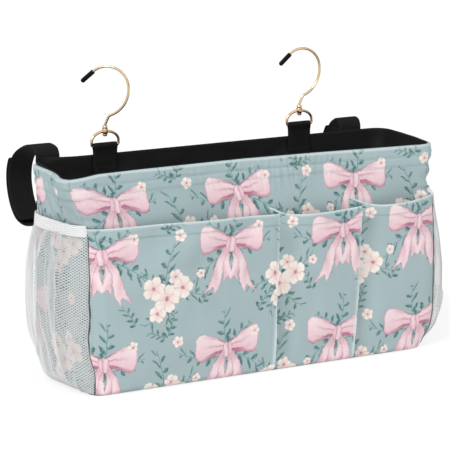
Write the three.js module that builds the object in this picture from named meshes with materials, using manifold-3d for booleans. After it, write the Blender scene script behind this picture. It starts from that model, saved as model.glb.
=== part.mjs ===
// Bedside caddy: a soft open-topped fabric bag with three front pockets, a net pocket on each end, two
// swivelling wire hooks on rings, and two touch-fastened straps behind. Millimetres, +Z up.
// Origin: centre of the flat base, on the surface that the bag stands on. The front faces -Y.
import * as THREE from "three";
import { mergeVertices } from "three/addons/utils/BufferGeometryUtils.js";
import Module from "manifold-3d";

const wasm = await Module();
wasm.setup();

const degrees = THREE.MathUtils.degToRad;
const { Vector2, Vector3 } = THREE;

// Driving dimensions of the bag
const clearance = 0.3; // between pieces that are sewn, laid or slid together
const sameSpot = 0.0003; // points closer than this are one
const bag = {
  width: 396, // over the ends, at the rim
  depth: 110, // front to back
  height: 200,
  cornerRadius: 22,
  frontRoll: 6, // radius of the bottom edge along the front and the back
  endRoll: 18, // radius of the bottom edge at the middle of each end
  endTaper: 5, // how far each end draws in from the rim down to the net's elastic
  fabric: 1.2,
  seamAngle: 33, // degrees round each corner from the front or the back to the upright seam
};
const lining = { cloth: 1.0 };
const board = { thickness: 1.6, baseThickness: 2.0, backMargin: 16, backBottom: 10 };
const elastic = { height: 14 }; // the flat elastic in the rim hem, as thick as the back board
const pocket = {
  height: 152,
  cloth: 1.0,
  bow: 11, // how far the mouth stands out in the middle
  sag: 3, // how far the mouth dips in the middle
  firstSeam: 8, // X of the seam between the left and the middle pocket
  secondSeam: 101, // X of the seam between the middle and the right pocket
};
const net = { drop: 5, cloth: 1.0, bulge: 14, band: 9, bandCloth: 1.4 };

// Driving dimensions of the hooks, rings and straps
const hanger = {
  leftInset: 87, // from that end of the bag to the hook's middle
  rightInset: 91,
  tabWidth: 25,
  tabCloth: 1.3,
  tabDrop: 36, // how far the tab reaches down the lining
  leftBarRise: 10.2, // from the rim up to the ring's bar
  rightBarRise: 13.2,
};
const ring = { wire: 2.6, height: 15.8, legHeight: 4, cornerRadius: 1.6 };
const swivel = { bossDiameter: 5.6, bossHeight: 5, collarDiameter: 4.8, collarHeight: 2.4, rivetHeight: 1.8 };
const hook = {
  wire: 2.4,
  crownRadius: 20,
  lowerRadius: 26,
  eyeOffset: 2.6, // sideways from the swivel axis to the middle of the crown
  eyeRise: 40.6, // up from the middle of the boss to the middle of the crown
  crownEndAngle: 131, // degrees from +X where the crown runs out into the tip
  crownStartAngle: 10, // degrees where the crown meets the wider lower bend
  kinkAngle: -74, // degrees of the lower bend where it meets the shank
  kinkRun: 2.5,
  tipDiameter: 4.4,
  tipLength: 15.2,
  leftRestAngle: -42, // how each hook stands turned on its swivel
  rightRestAngle: -4,
};
const strap = {
  width: 25,
  cloth: 1.5,
  tape: 0.8, // each half of the touch fastener
  rise: 16.5, // above the rim
  loopHeight: 80,
  leftReach: 60, // behind the back panel
  rightReach: 46, // this strap is closed tighter
  seamRun: 24, // length sewn to the back panel below the rim
  leftInset: 30, // from that end of the bag to the strap's middle
  rightInset: 25,
};
// Where each piece of a strap loop starts or ends, along the loop line
const leftShares = { lowerEndShare: 0.515, upperStartShare: 0.15, tapeStartShare: 0.18, tapeEndShare: 0.5 };
const rightShares = { lowerEndShare: 0.61, upperStartShare: 0.14, tapeStartShare: 0.175, tapeEndShare: 0.595 };

// Colours and finishes
const printCloth = new THREE.MeshStandardMaterial({ color: 0xa3b8bc, roughness: 0.85 });
const blackCloth = new THREE.MeshStandardMaterial({ color: 0x191919, roughness: 0.9 });
const whiteNet = new THREE.MeshStandardMaterial({ color: 0xdcdcdc, roughness: 0.8 });
const whiteElastic = new THREE.MeshStandardMaterial({ color: 0xf0f0f0, roughness: 0.75 });
const goldWire = new THREE.MeshStandardMaterial({ color: 0xc8a06e, roughness: 0.25, metalness: 1 });
const blackRubber = new THREE.MeshStandardMaterial({ color: 0x151515, roughness: 0.6 });
const greyBoard = new THREE.MeshStandardMaterial({ color: 0x9a9a94, roughness: 0.9 });

const root = new THREE.Group();

// Adds one named piece to a group.
function addPiece(name, geometry, material, parent = root) {
  const mesh = new THREE.Mesh(geometry, material);
  mesh.name = name;
  parent.add(mesh);
  return mesh;
}

// Turns a closed mesh right side out, by the sign of its volume.
function outward(geometry) {
  const at = geometry.getAttribute("position");
  const index = geometry.getIndex().array;
  const [a, b, c] = [new Vector3(), new Vector3(), new Vector3()];
  let volume = 0;
  for (let i = 0; i < index.length; i += 3) {
    a.fromBufferAttribute(at, index[i]);
    b.fromBufferAttribute(at, index[i + 1]);
    c.fromBufferAttribute(at, index[i + 2]);
    volume += a.dot(b.cross(c));
  }
  if (volume < 0) {
    for (let i = 0; i < index.length; i += 3) [index[i + 1], index[i + 2]] = [index[i + 2], index[i + 1]];
  }
  geometry.computeVertexNormals();
  return geometry;
}

// Skins a row of like loops. An open row gets flat ends, each filled as a ladder between the loop's first and
// last points, so a loop runs up one face of its section and back down the other. A closed row joins up.
function loft(loops, closed = false) {
  const count = loops[0].length;
  const positions = loops.flat().flatMap((p) => [p.x, p.y, p.z]);
  const index = [];
  const quad = (a, b, c, d) => index.push(a, b, c, a, c, d);
  const spans = closed ? loops.length : loops.length - 1;
  for (let i = 0; i < spans; i++) {
    const here = i * count;
    const next = ((i + 1) % loops.length) * count;
    for (let j = 0; j < count; j++) {
      const k = (j + 1) % count;
      quad(here + j, here + k, next + k, next + j);
    }
  }
  if (!closed) {
    const end = (loops.length - 1) * count;
    for (let j = 0; j < count / 2 - 1; j++) {
      const across = count - 1 - j;
      quad(across, across - 1, j + 1, j);
      quad(end + j, end + j + 1, end + across - 1, end + across);
    }
  }
  const geometry = new THREE.BufferGeometry();
  geometry.setAttribute("position", new THREE.Float32BufferAttribute(positions, 3));
  geometry.setIndex(index);
  return outward(geometry);
}

// The bag's plan: four straight sides and four round corners. Corner k lies between side k - 1 and side k,
// and sides 0 to 3 are the front, the right end, the back and the left end.
const corners = [[-1, -1], [1, -1], [1, 1], [-1, 1]];
const quarter = 360 / corners.length;
const sides = ["front", "rightEnd", "back", "leftEnd"];
const halfLength = bag.width / 2;
const halfDepth = bag.depth / 2;
const seamAngles = [
  -bag.seamAngle,
  bag.seamAngle,
  2 * quarter - bag.seamAngle,
  2 * quarter + bag.seamAngle,
  4 * quarter - bag.seamAngle,
];

// A place on the plan: on corner k, where the wall faces so many degrees round from -Y towards +X.
function cornerStation(k, turn) {
  const [sideX, sideY] = corners[k % corners.length];
  const facing = { x: Math.sin(degrees(turn)), y: -Math.cos(degrees(turn)) };
  return {
    x: sideX * (halfLength - bag.cornerRadius) + bag.cornerRadius * facing.x,
    y: sideY * (halfDepth - bag.cornerRadius) + bag.cornerRadius * facing.y,
    facing,
  };
}

// The same, a share of the way along the straight run of side k.
function runStation(k, share) {
  const from = cornerStation(k, k * quarter);
  const to = cornerStation(k + 1, k * quarter);
  return {
    x: THREE.MathUtils.lerp(from.x, to.x, share),
    y: THREE.MathUtils.lerp(from.y, to.y, share),
    facing: from.facing,
  };
}

// One side's panel from seam to seam, measured along the cloth.
function sidePath(side) {
  const k = sides.indexOf(side);
  const firstArc = bag.cornerRadius * degrees(k * quarter - seamAngles[k]);
  const from = cornerStation(k, k * quarter);
  const to = cornerStation(k + 1, k * quarter);
  const run = Math.hypot(to.x - from.x, to.y - from.y);
  const lastArc = bag.cornerRadius * degrees(seamAngles[k + 1] - k * quarter);
  const degreesAlong = (distance) => THREE.MathUtils.radToDeg(distance / bag.cornerRadius);
  const at = (distance) => {
    if (distance < firstArc) return cornerStation(k, seamAngles[k] + degreesAlong(distance));
    if (distance <= firstArc + run) return runStation(k, (distance - firstArc) / run);
    return cornerStation(k + 1, k * quarter + degreesAlong(distance - firstArc - run));
  };
  return { at, firstArc, run, lastArc, length: firstArc + run + lastArc };
}

// Even steps from one distance to another along a side, both ends included.
function steps(from, to, count) {
  return Array.from({ length: count + 1 }, (_, i) => from + ((to - from) * i) / count);
}

// Stations all the way round the plan, for the pieces that close on themselves.
const cornerSteps = 6;
const ringStations = corners.flatMap((_, k) =>
  steps((k - 1) * quarter, k * quarter, cornerSteps).map((turn) => cornerStation(k, turn)),
);

// The bottom edge is rolled, wider at the ends than along the front.
function rollRadius(station) {
  return bag.frontRoll + (bag.endRoll - bag.frontRoll) * station.facing.x ** 2;
}

function rollInset(station, z) {
  const radius = rollRadius(station);
  return z < radius ? radius - Math.sqrt(radius ** 2 - (radius - z) ** 2) : 0;
}

// The ends draw in from the rim down to the net's elastic, and run upright below it.
const netTop = pocket.height - net.drop;
const bandTop = netTop + clearance + net.band;
function endDraw(z) {
  const share = Math.min(1, (bag.height - z) / (bag.height - bandTop));
  return 1 - (bag.endTaper / halfLength) * share;
}

// A point so far inside the bag's outer face, at a height. A negative inset lies outside it.
function wallPoint(station, inset, z) {
  const depth = inset + rollInset(station, z);
  const x = station.x - station.facing.x * depth;
  const y = station.y - station.facing.y * depth;
  return new Vector3(x * endDraw(z), y, z);
}

// Sweeps an upright section along the wall. The section gives [inset, height] pairs at each station.
function sweepWall(stations, section, closed = false) {
  const loopAt = (station) => section(station).map(([inset, z]) => wallPoint(station, inset, z));
  return loft(stations.map(loopAt), closed);
}

// A flat plate that fills the plan at one height, so far inside the outer face there.
function floorPlate(inset, z, thickness) {
  const outline = ringStations.map((station) => {
    const p = wallPoint(station, inset, z);
    return new Vector2(p.x, p.y);
  });
  const shape = new THREE.Shape(outline);
  const plate = new THREE.ExtrudeGeometry(shape, { depth: thickness, bevelEnabled: false });
  return plate.translate(0, 0, z);
}

// Outer panels: print cloth, rolled under at the floor and turned over the rim as a hem
const cavity = board.thickness + 2 * clearance; // between the outer cloth and the lining
const hemReach = bag.fabric + cavity - clearance;
const rollShares = [0, 0.08, 0.3, 0.6, 1];
const wallLevels = (station) => [...rollShares.map((share) => share * rollRadius(station)), bandTop];

function panelSection(station) {
  const levels = wallLevels(station);
  const turnedHem = [
    [0, bag.height],
    [hemReach, bag.height],
    [hemReach, bag.height - bag.fabric],
    [bag.fabric, bag.height - bag.fabric],
  ];
  const outerFace = levels.map((z) => [0, z]);
  const innerFace = levels.map((z) => [bag.fabric, z]).reverse();
  return [...outerFace, ...turnedHem, ...innerFace];
}

// Distances along a side: even steps round each corner's share of it, and even steps along its straight run.
const arcSteps = { short: 3, long: 5 }; // of a front or back panel, and of an end panel
const seamHalf = clearance / 2;
function sideDistances(path, turnSteps, runSteps) {
  const runEnd = path.firstArc + path.run;
  return [
    ...steps(seamHalf, path.firstArc, turnSteps),
    ...steps(path.firstArc, runEnd, runSteps).slice(1),
    ...steps(runEnd, path.length - seamHalf, turnSteps).slice(1),
  ];
}

function sidePanel(side, turnSteps, runSteps) {
  const path = sidePath(side);
  return sweepWall(sideDistances(path, turnSteps, runSteps).map(path.at), panelSection);
}

addPiece("front_panel", sidePanel("front", arcSteps.short, 4), printCloth);
addPiece("back_panel", sidePanel("back", arcSteps.short, 4), printCloth);
addPiece("left_end_panel", sidePanel("leftEnd", arcSteps.long, 2), printCloth);
addPiece("right_end_panel", sidePanel("rightEnd", arcSteps.long, 2), printCloth);
addPiece("base_panel", floorPlate(bag.fabric + clearance, 0, bag.fabric), printCloth);

// Stiffener boards between the outer cloth and the lining
const baseBoardBottom = bag.fabric + clearance;
addPiece("base_board", floorPlate(bag.fabric + clearance, baseBoardBottom, board.baseThickness), greyBoard);

const hemBottom = bag.height - bag.fabric - clearance - elastic.height;
const cavityStart = bag.fabric + clearance;
function backBoardSection() {
  const top = hemBottom - clearance;
  const far = cavityStart + board.thickness;
  return [[cavityStart, board.backBottom], [cavityStart, top], [far, top], [far, board.backBottom]];
}
const backPath = sidePath("back");
const backBoardEnds = [board.backMargin, backPath.run - board.backMargin];
const backBoardStations = backBoardEnds.map((distance) => backPath.at(backPath.firstArc + distance));
addPiece("back_board", sweepWall(backBoardStations, backBoardSection), greyBoard);

// Flat elastic in the rim hem, all the way round
function elasticSection() {
  const top = bag.height - bag.fabric - clearance;
  const far = cavityStart + board.thickness;
  const levels = [hemBottom, bandTop, top].filter((z, i) => i !== 1 || z > hemBottom);
  return [...levels.map((z) => [cavityStart, z]), ...levels.map((z) => [far, z]).reverse()];
}
addPiece("rim_elastic", sweepWall(ringStations, elasticSection, true), whiteElastic);

// Black lining: one wall strip and a floor
const liningFace = bag.fabric + cavity;
const liningBottom = baseBoardBottom + board.baseThickness + clearance;
const liningLevels = [...steps(liningBottom, bag.endRoll, 4), bandTop, bag.height];
function liningSection() {
  const outerFace = liningLevels.map((z) => [liningFace, z]);
  const innerFace = liningLevels.map((z) => [liningFace + lining.cloth, z]).reverse();
  return [...outerFace, ...innerFace];
}
addPiece("lining_walls", sweepWall(ringStations, liningSection, true), blackCloth);
const liningFloorInset = liningFace + lining.cloth + clearance;
addPiece("lining_base", floorPlate(liningFloorInset, liningBottom, lining.cloth), blackCloth);

// Heights for a cloth that lies on the wall: the wall's own levels in the roll, then even steps to its top.
function clothHeights(station, firstRollShare, top, count) {
  const inRoll = rollShares.slice(firstRollShare, -1).map((share) => share * rollRadius(station));
  return [...inRoll, ...steps(rollRadius(station), top, count)];
}

// Front pockets: pouches of print cloth, sewn down at both sides and along the bottom
const pocketRiseShare = 0.7; // how fast a pouch opens from its bottom seam
const frontPath = sidePath("front");
function addPocket(name, from, to, runSteps) {
  const path = frontPath;
  const section = (distance) => {
    const station = path.at(distance);
    const across = Math.max(0, Math.sin((Math.PI * (distance - from)) / (to - from)));
    const heights = clothHeights(station, 2, pocket.height - pocket.sag * across, 6);
    const bottom = heights[0];
    const top = heights.at(-1);
    const face = heights.map((z) => {
      const open = Math.sin(degrees((quarter * (z - bottom)) / (top - bottom))) ** pocketRiseShare;
      return [clearance + pocket.bow * across * open, z];
    });
    const inner = face.map(([out, z]) => wallPoint(station, -out, z));
    const outer = face.map(([out, z]) => wallPoint(station, -(out + pocket.cloth), z));
    return [...inner, ...outer.reverse()];
  };
  const inArcs = sideDistances(path, arcSteps.short, 1).filter((d) => d > from && d < to);
  const runStart = Math.max(from, path.firstArc);
  const runEnd = Math.min(to, path.firstArc + path.run);
  const distances = [from, ...inArcs, ...steps(runStart, runEnd, runSteps), to].sort((a, b) => a - b);
  const distinct = distances.filter((d, i) => i === 0 || d - distances[i - 1] > sameSpot);
  addPiece(name, loft(distinct.map(section)), printCloth);
}
const distanceAtX = (x) => frontPath.firstArc + x + halfLength - bag.cornerRadius;
const [firstSeam, secondSeam] = [pocket.firstSeam, pocket.secondSeam].map(distanceAtX);
addPocket("front_pocket_left", seamHalf, firstSeam - seamHalf, 12);
addPocket("front_pocket_middle", firstSeam + seamHalf, secondSeam - seamHalf, 8);
addPocket("front_pocket_right", secondSeam + seamHalf, frontPath.length - seamHalf, 8);

// Net pockets on the ends: a bulging net with a wide elastic sewn to its top edge
const netProfileShares = [[0, 0.05], [0.15, 0.6], [0.42, 1], [0.74, 0.72], [1, 0.42]];
const netSpreadShare = 0.8; // how soon the net leaves the seams
const netProfile = new THREE.SplineCurve(netProfileShares.map(([up, out]) => new Vector2(up, out)));

function addNetPocket(side) {
  const path = sidePath(side + "End");
  const distances = sideDistances(path, arcSteps.long, 6);
  const standOut = (distance, z) => {
    const across = Math.sin((Math.PI * distance) / path.length) ** netSpreadShare;
    return clearance + net.bulge * across * netProfile.getPoint(z / netTop).y;
  };
  const netLoops = distances.map((distance) => {
    const station = path.at(distance);
    const heights = clothHeights(station, 1, netTop, 8);
    const inner = heights.map((z) => wallPoint(station, -standOut(distance, z), z));
    const outer = heights.map((z) => wallPoint(station, -(standOut(distance, z) + net.cloth), z));
    return [...inner, ...outer.reverse()];
  });
  addPiece(side + "_mesh_pocket", loft(netLoops), whiteNet);
  const bandLoops = distances.map((distance) => {
    const inner = standOut(distance, netTop);
    const outer = inner + net.bandCloth;
    const low = netTop + clearance;
    const section = [[inner, low], [inner, bandTop], [outer, bandTop], [outer, low]];
    return section.map(([out, z]) => wallPoint(path.at(distance), -out, z));
  });
  addPiece(side + "_mesh_band", loft(bandLoops), whiteElastic);
}
addNetPocket("left");
addNetPocket("right");

// Webbing: a strip of even thickness along a centre line in the YZ plane, as wide as it is along X
const [unitX, unitY, unitZ] = [new Vector3(1, 0, 0), new Vector3(0, 1, 0), new Vector3(0, 0, 1)];
const acrossX = new THREE.Matrix4().makeBasis(unitY, unitZ, unitX);
function leftNormal(points, i) {
  const before = points[Math.max(i - 1, 0)];
  const after = points[Math.min(i + 1, points.length - 1)];
  const along = after.clone().sub(before).normalize();
  return new Vector2(-along.y, along.x);
}

function offsetLine(points, distance) {
  return points.map((p, i) => p.clone().addScaledVector(leftNormal(points, i), distance));
}

function webbing(centreLine, thickness, width, roundStart = false) {
  const left = offsetLine(centreLine, thickness / 2);
  const right = offsetLine(centreLine, -thickness / 2).reverse();
  const side = leftNormal(centreLine, 0);
  const backward = new Vector2(-side.y, side.x);
  const round = arc(new Vector2(), thickness / 2, 2 * quarter, 0, 4).slice(1, -1);
  const from = centreLine[0];
  const start = round.map((p) => from.clone().addScaledVector(side, p.x).addScaledVector(backward, p.y));
  const outline = new THREE.Shape([...left, ...right, ...(roundStart ? start : [])]);
  const strip = new THREE.ExtrudeGeometry(outline, { depth: width, bevelEnabled: false });
  return strip.translate(0, 0, -width / 2).applyMatrix4(acrossX);
}

// A round wire along points in the XZ plane. It closes on itself when asked, or else has flat ends.
const wireSides = 8;
function wire(points, radius, closed = false) {
  const count = points.length;
  const circle = steps(0, 2 * Math.PI, wireSides).slice(0, wireSides);
  const loops = points.map((p, i) => {
    const before = closed ? points[(i + count - 1) % count] : points[Math.max(i - 1, 0)];
    const after = closed ? points[(i + 1) % count] : points[Math.min(i + 1, count - 1)];
    const along = after.clone().sub(before).normalize();
    const normal = new Vector2(-along.y, along.x);
    return circle.map((angle) => {
      const reach = radius * Math.cos(angle);
      return new Vector3(p.x + normal.x * reach, radius * Math.sin(angle), p.y + normal.y * reach);
    });
  });
  return loft(loops, closed);
}

// Points on an arc in a plane, between two angles in degrees.
function arc(centre, radius, from, to, count) {
  return steps(degrees(from), degrees(to), count).map(
    (angle) => new Vector2(centre.x + radius * Math.cos(angle), centre.y + radius * Math.sin(angle)),
  );
}

// Solids for cutting and joining
function solid(geometry) {
  const plain = new THREE.BufferGeometry().setAttribute("position", geometry.getAttribute("position"));
  if (geometry.getIndex()) plain.setIndex(geometry.getIndex());
  const merged = mergeVertices(plain, sameSpot);
  const vertProperties = merged.attributes.position.array;
  const triVerts = new Uint32Array(merged.index.array);
  return new wasm.Manifold(new wasm.Mesh({ numProp: 3, vertProperties, triVerts }));
}

function geometryOf(made) {
  const mesh = made.getMesh();
  const geometry = new THREE.BufferGeometry();
  geometry.setAttribute("position", new THREE.Float32BufferAttribute(mesh.vertProperties, 3));
  geometry.setIndex([...mesh.triVerts]);
  geometry.computeVertexNormals();
  return geometry;
}

// Upright round bars and rings on the Z axis
const roundSides = 16;
function uprightBar(diameter, bottom, top) {
  const bar = new THREE.CylinderGeometry(diameter / 2, diameter / 2, top - bottom, roundSides);
  return bar.rotateX(degrees(quarter)).translate(0, 0, (bottom + top) / 2);
}

// A closed turned piece on the Y axis, from a profile that ends where it starts.
function turned(profile) {
  const lathe = new THREE.LatheGeometry(profile, roundSides);
  lathe.deleteAttribute("normal");
  lathe.deleteAttribute("uv");
  return outward(mergeVertices(lathe, sameSpot));
}

// Hanging gear: tab, ring, hook with its collar and rivet, and the hook's rubber tip
const ringRadius = ring.wire / 2;
const archTop = ring.height - ring.wire; // from the bar's centre up to the arch's centre
const ringHalfWidth = hanger.tabWidth / 2 + clearance + ring.cornerRadius; // to the middle of each leg
const shankBore = hook.wire + 2 * clearance;

function ringGeometry() {
  const corner = ring.cornerRadius;
  const right = arc(new Vector2(ringHalfWidth - corner, corner), corner, -quarter, 0, 3);
  const left = arc(new Vector2(corner - ringHalfWidth, corner), corner, 2 * quarter, 3 * quarter, 3);
  const archRise = archTop - ring.legHeight;
  const arch = arc(new Vector2(), 1, 0, 2 * quarter, 16).map(
    (unit) => new Vector2(ringHalfWidth * unit.x, ring.legHeight + archRise * unit.y),
  );
  const loop = solid(wire([...right, ...arch, ...left], ringRadius, true));
  const bottom = archTop - swivel.bossHeight / 2;
  const top = archTop + swivel.bossHeight / 2;
  const boss = solid(uprightBar(swivel.bossDiameter, bottom, top));
  const bore = solid(uprightBar(shankBore, bottom - swivel.bossHeight, top + swivel.bossHeight));
  return geometryOf(loop.add(boss).subtract(bore));
}

const collarBottom = swivel.bossHeight / 2 + clearance;
const collarTop = collarBottom + swivel.collarHeight;
const rivetTop = -swivel.bossHeight / 2 - clearance;
const rivetBottom = rivetTop - swivel.rivetHeight;

// A unit step in a plane, so many degrees round from its first axis.
function bearing(angle) {
  return new Vector2(Math.cos(degrees(angle)), Math.sin(degrees(angle)));
}

// The wire's centre line in its own plane, measured from the middle of the ring's boss.
function hookLine() {
  const crownMiddle = new Vector2(hook.eyeOffset, hook.eyeRise);
  const towardsJoin = bearing(hook.crownStartAngle);
  const lowerMiddle = crownMiddle.clone().addScaledVector(towardsJoin, hook.crownRadius - hook.lowerRadius);
  const lowerBend = arc(lowerMiddle, hook.lowerRadius, hook.kinkAngle, hook.crownStartAngle, 12);
  const crown = arc(crownMiddle, hook.crownRadius, hook.crownStartAngle, hook.crownEndAngle, 18).slice(1);
  const kink = lowerBend.shift();
  const shankTop = new Vector2(0, collarTop + clearance);
  const lean = kink.clone().sub(shankTop).setLength(kink.distanceTo(shankTop) - hook.kinkRun).add(shankTop);
  const bend = new THREE.QuadraticBezierCurve(lean, kink, lowerBend[0]).getPoints(5);
  const tipDirection = bearing(hook.crownEndAngle + quarter);
  const crownEnd = crown.at(-1);
  const wireEnd = crownEnd.clone().addScaledVector(tipDirection, hook.tipLength - hook.tipDiameter / 2);
  const line = [new Vector2(0, rivetBottom), shankTop, ...bend, ...lowerBend.slice(1), ...crown, wireEnd];
  return { line, crownEnd, tipDirection };
}

function tipGeometry() {
  const inner = hook.wire / 2 + clearance;
  const outer = hook.tipDiameter / 2;
  const boreEnd = hook.tipLength - outer + clearance;
  const dome = arc(new Vector2(0, hook.tipLength - outer), outer, 0, quarter, 4);
  dome.at(-1).x = 0;
  const mouth = new Vector2(inner, 0);
  const bore = [new Vector2(0, boreEnd), new Vector2(inner, boreEnd)];
  return turned([mouth, new Vector2(outer, 0), ...dome, ...bore, mouth]);
}

function tabGeometry(barRise) {
  const fold = ringRadius + clearance + hanger.tabCloth / 2;
  const pinch = (hanger.tabCloth + clearance) / 2;
  const pinchTop = -barRise - clearance;
  const foot = -barRise - hanger.tabDrop;
  const turn = arc(new Vector2(), fold, 0, 2 * quarter, 8);
  const outerLeg = [new Vector2(pinch, foot), new Vector2(pinch, pinchTop)];
  const innerLeg = [new Vector2(-pinch, pinchTop), new Vector2(-pinch, foot)];
  return webbing([...outerLeg, ...turn, ...innerLeg], hanger.tabCloth, hanger.tabWidth);
}

const tabStack = 2 * hanger.tabCloth + clearance;
const barY = halfDepth - liningFace - lining.cloth - clearance - tabStack / 2;

function addHanger(side, x, barRise, restAngle) {
  const gear = new THREE.Group();
  gear.position.set(x, barY, bag.height + barRise);
  root.add(gear);
  addPiece(side + "_hook_tab", tabGeometry(barRise), blackCloth, gear);
  addPiece(side + "_ring", ringGeometry(), goldWire, gear);

  const turning = new THREE.Group();
  turning.position.set(0, 0, archTop);
  turning.rotation.z = degrees(restAngle);
  gear.add(turning);
  const { line, crownEnd, tipDirection } = hookLine();
  addPiece(side + "_hook", wire(line, hook.wire / 2), goldWire, turning);

  const bore = shankBore / 2;
  const rim = swivel.collarDiameter / 2;
  const shoulder = rim - (rim - bore) / 2;
  const collarEdge = collarTop - swivel.collarHeight / 3;
  const rivetEdge = rivetBottom + swivel.rivetHeight / 2;
  const collar = [[rim, collarBottom], [rim, collarEdge], [shoulder, collarTop], [bore, collarTop]];
  const rivet = [[shoulder, rivetBottom], [rim, rivetEdge], [rim, rivetTop], [bore, rivetTop]];
  const turnings = [
    ["swivel_collar", collar, collarBottom],
    ["swivel_rivet", rivet, rivetBottom],
  ];
  for (const [name, outline, bottom] of turnings) {
    const profile = [[bore, bottom], ...outline, [bore, bottom]].map(([r, z]) => new Vector2(r, z));
    addPiece(side + "_" + name, turned(profile).rotateX(degrees(quarter)), goldWire, turning);
  }

  const tip = addPiece(side + "_hook_tip", tipGeometry(), blackRubber, turning);
  tip.position.set(crownEnd.x, 0, crownEnd.y);
  tip.quaternion.setFromUnitVectors(unitY, new Vector3(tipDirection.x, 0, tipDirection.y));
}

addHanger("left", hanger.leftInset - halfLength, hanger.leftBarRise, hook.leftRestAngle);
addHanger("right", halfLength - hanger.rightInset, hanger.rightBarRise, hook.rightRestAngle);

// Straps behind the bag: an upper and a lower strap that close on each other with touch-fastening tape.
// One loop line gives both: the lower strap lies on it, and the upper strap and the tapes inside it.
const tapeStep = strap.cloth / 2 + clearance + strap.tape / 2;
const tapePitch = strap.tape + clearance;
const upperInset = 2 * tapeStep + tapePitch;
const strapRoot = clearance + strap.cloth / 2; // from the back panel to the middle of the strap
const loopTop = bag.height + strap.rise;
const loopBottom = loopTop - strap.loopHeight;
// Points of each loop, as shares of its reach behind the panel and of its height
const leftLoopShares = [
  [0.23, 0.018], [0.483, 0], [0.727, 0.062], [0.903, 0.22], [0.993, 0.438], [0.97, 0.644],
  [0.833, 0.813], [0.6, 0.929], [0.308, 1], [0.058, 0.97], [-0.043, 0.875],
];
const rightLoopShares = [
  [0.326, 0.003], [0.674, 0.019], [0.935, 0.138], [1, 0.3], [0.946, 0.469], [0.739, 0.65],
  [0.511, 0.806], [0.337, 0.919], [0.174, 0.994], [0.022, 0.963], [-0.057, 0.875],
];
const rootShare = 0.08; // of the loop's height, where the lower strap is sewn on

function loopLine(reach, loopShares) {
  const wallSide = strapRoot - upperInset;
  const points = [
    new Vector2(strapRoot, loopBottom + rootShare * strap.loopHeight),
    ...loopShares.map(([out, up]) => new Vector2(out * reach, loopBottom + up * strap.loopHeight)),
    new Vector2(wallSide, bag.height),
    new Vector2(wallSide, bag.height - strap.seamRun / 2),
    new Vector2(wallSide, bag.height - strap.seamRun),
  ];
  return new THREE.SplineCurve(points.map((p) => p.add(new Vector2(halfDepth, 0))));
}

// The centre line of one piece of a loop, so far inside the loop line.
const loopSteps = 80;
function stretch(loop, from, to, inset) {
  return steps(from, to, Math.ceil((to - from) * loopSteps)).map((share) => {
    const along = loop.getTangentAt(share);
    return loop.getPointAt(share).addScaledVector(new Vector2(-along.y, along.x), inset);
  });
}

function addStrap(side, x, loop, shares) {
  const tapeShares = [shares.tapeStartShare, shares.tapeEndShare];
  const pieces = [
    ["strap_lower", stretch(loop, 0, shares.lowerEndShare, 0), strap.cloth, true],
    ["strap_upper", stretch(loop, shares.upperStartShare, 1, upperInset), strap.cloth, false],
    ["hook_tape", stretch(loop, ...tapeShares, tapeStep), strap.tape, false],
    ["loop_tape", stretch(loop, ...tapeShares, tapeStep + tapePitch), strap.tape, false],
  ];
  for (const [name, line, thickness, roundStart] of pieces) {
    addPiece(side + "_" + name, webbing(line, thickness, strap.width, roundStart), blackCloth).position.x = x;
  }
}
addStrap("left", strap.leftInset - halfLength, loopLine(strap.leftReach, leftLoopShares), leftShares);
addStrap("right", halfLength - strap.rightInset, loopLine(strap.rightReach, rightLoopShares), rightShares);

export default root;
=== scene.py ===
# A bedside caddy: a soft fabric bag with pouch pockets, net end pockets, wire hooks and webbing straps.
# Metres, +Z up. The front faces -Y, and the origin is the centre of the base.
import math

import bpy
import numpy as np
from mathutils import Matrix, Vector


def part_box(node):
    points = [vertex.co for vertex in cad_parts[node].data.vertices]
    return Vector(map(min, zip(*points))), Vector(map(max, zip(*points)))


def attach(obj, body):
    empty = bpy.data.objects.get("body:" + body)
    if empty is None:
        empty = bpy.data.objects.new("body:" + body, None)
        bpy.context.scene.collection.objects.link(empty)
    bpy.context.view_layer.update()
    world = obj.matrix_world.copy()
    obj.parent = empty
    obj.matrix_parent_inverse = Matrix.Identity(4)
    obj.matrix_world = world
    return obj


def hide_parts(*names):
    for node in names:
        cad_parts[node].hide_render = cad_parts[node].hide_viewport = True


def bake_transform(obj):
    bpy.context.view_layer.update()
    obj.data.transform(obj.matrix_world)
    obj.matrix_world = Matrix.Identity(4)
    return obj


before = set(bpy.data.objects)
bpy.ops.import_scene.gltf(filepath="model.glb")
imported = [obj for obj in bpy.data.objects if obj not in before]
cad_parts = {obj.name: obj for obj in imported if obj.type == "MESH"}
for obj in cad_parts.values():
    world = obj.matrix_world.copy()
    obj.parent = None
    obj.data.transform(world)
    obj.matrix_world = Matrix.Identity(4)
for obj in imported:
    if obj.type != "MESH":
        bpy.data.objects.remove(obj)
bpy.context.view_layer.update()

# The camera
# It stands to the left of the front and a little above the rim, with the long lens of a product photograph.
# Its place comes from the photograph's perspective.
image_side = 450
focal_pixels = 2601.5
camera_distance = 2.449
camera_aim = Vector((-0.0097, 0, 0.1322))


def add_object(name, data, material=None):
    made = bpy.data.objects.new(name, data)
    bpy.context.scene.collection.objects.link(made)
    if material:
        data.materials.append(material)
    return made


def direction(turn, rise):
    """A unit vector so many degrees to the right of the front and above level."""
    turn, rise = math.radians(turn), math.radians(rise)
    return Vector((math.sin(turn) * math.cos(rise), -math.cos(turn) * math.cos(rise), math.sin(rise)))


backward = direction(-32.47, 10.49)
camera_data = bpy.data.cameras.new("camera")
camera_data.sensor_width = 36
camera_data.lens = focal_pixels / image_side * camera_data.sensor_width
camera = add_object("camera", camera_data)
bpy.context.scene.camera = camera
camera.location = camera_aim + backward * camera_distance
camera.rotation_mode = "QUATERNION"
camera.rotation_quaternion = (-backward).to_track_quat("-Z", "Y")

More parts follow.
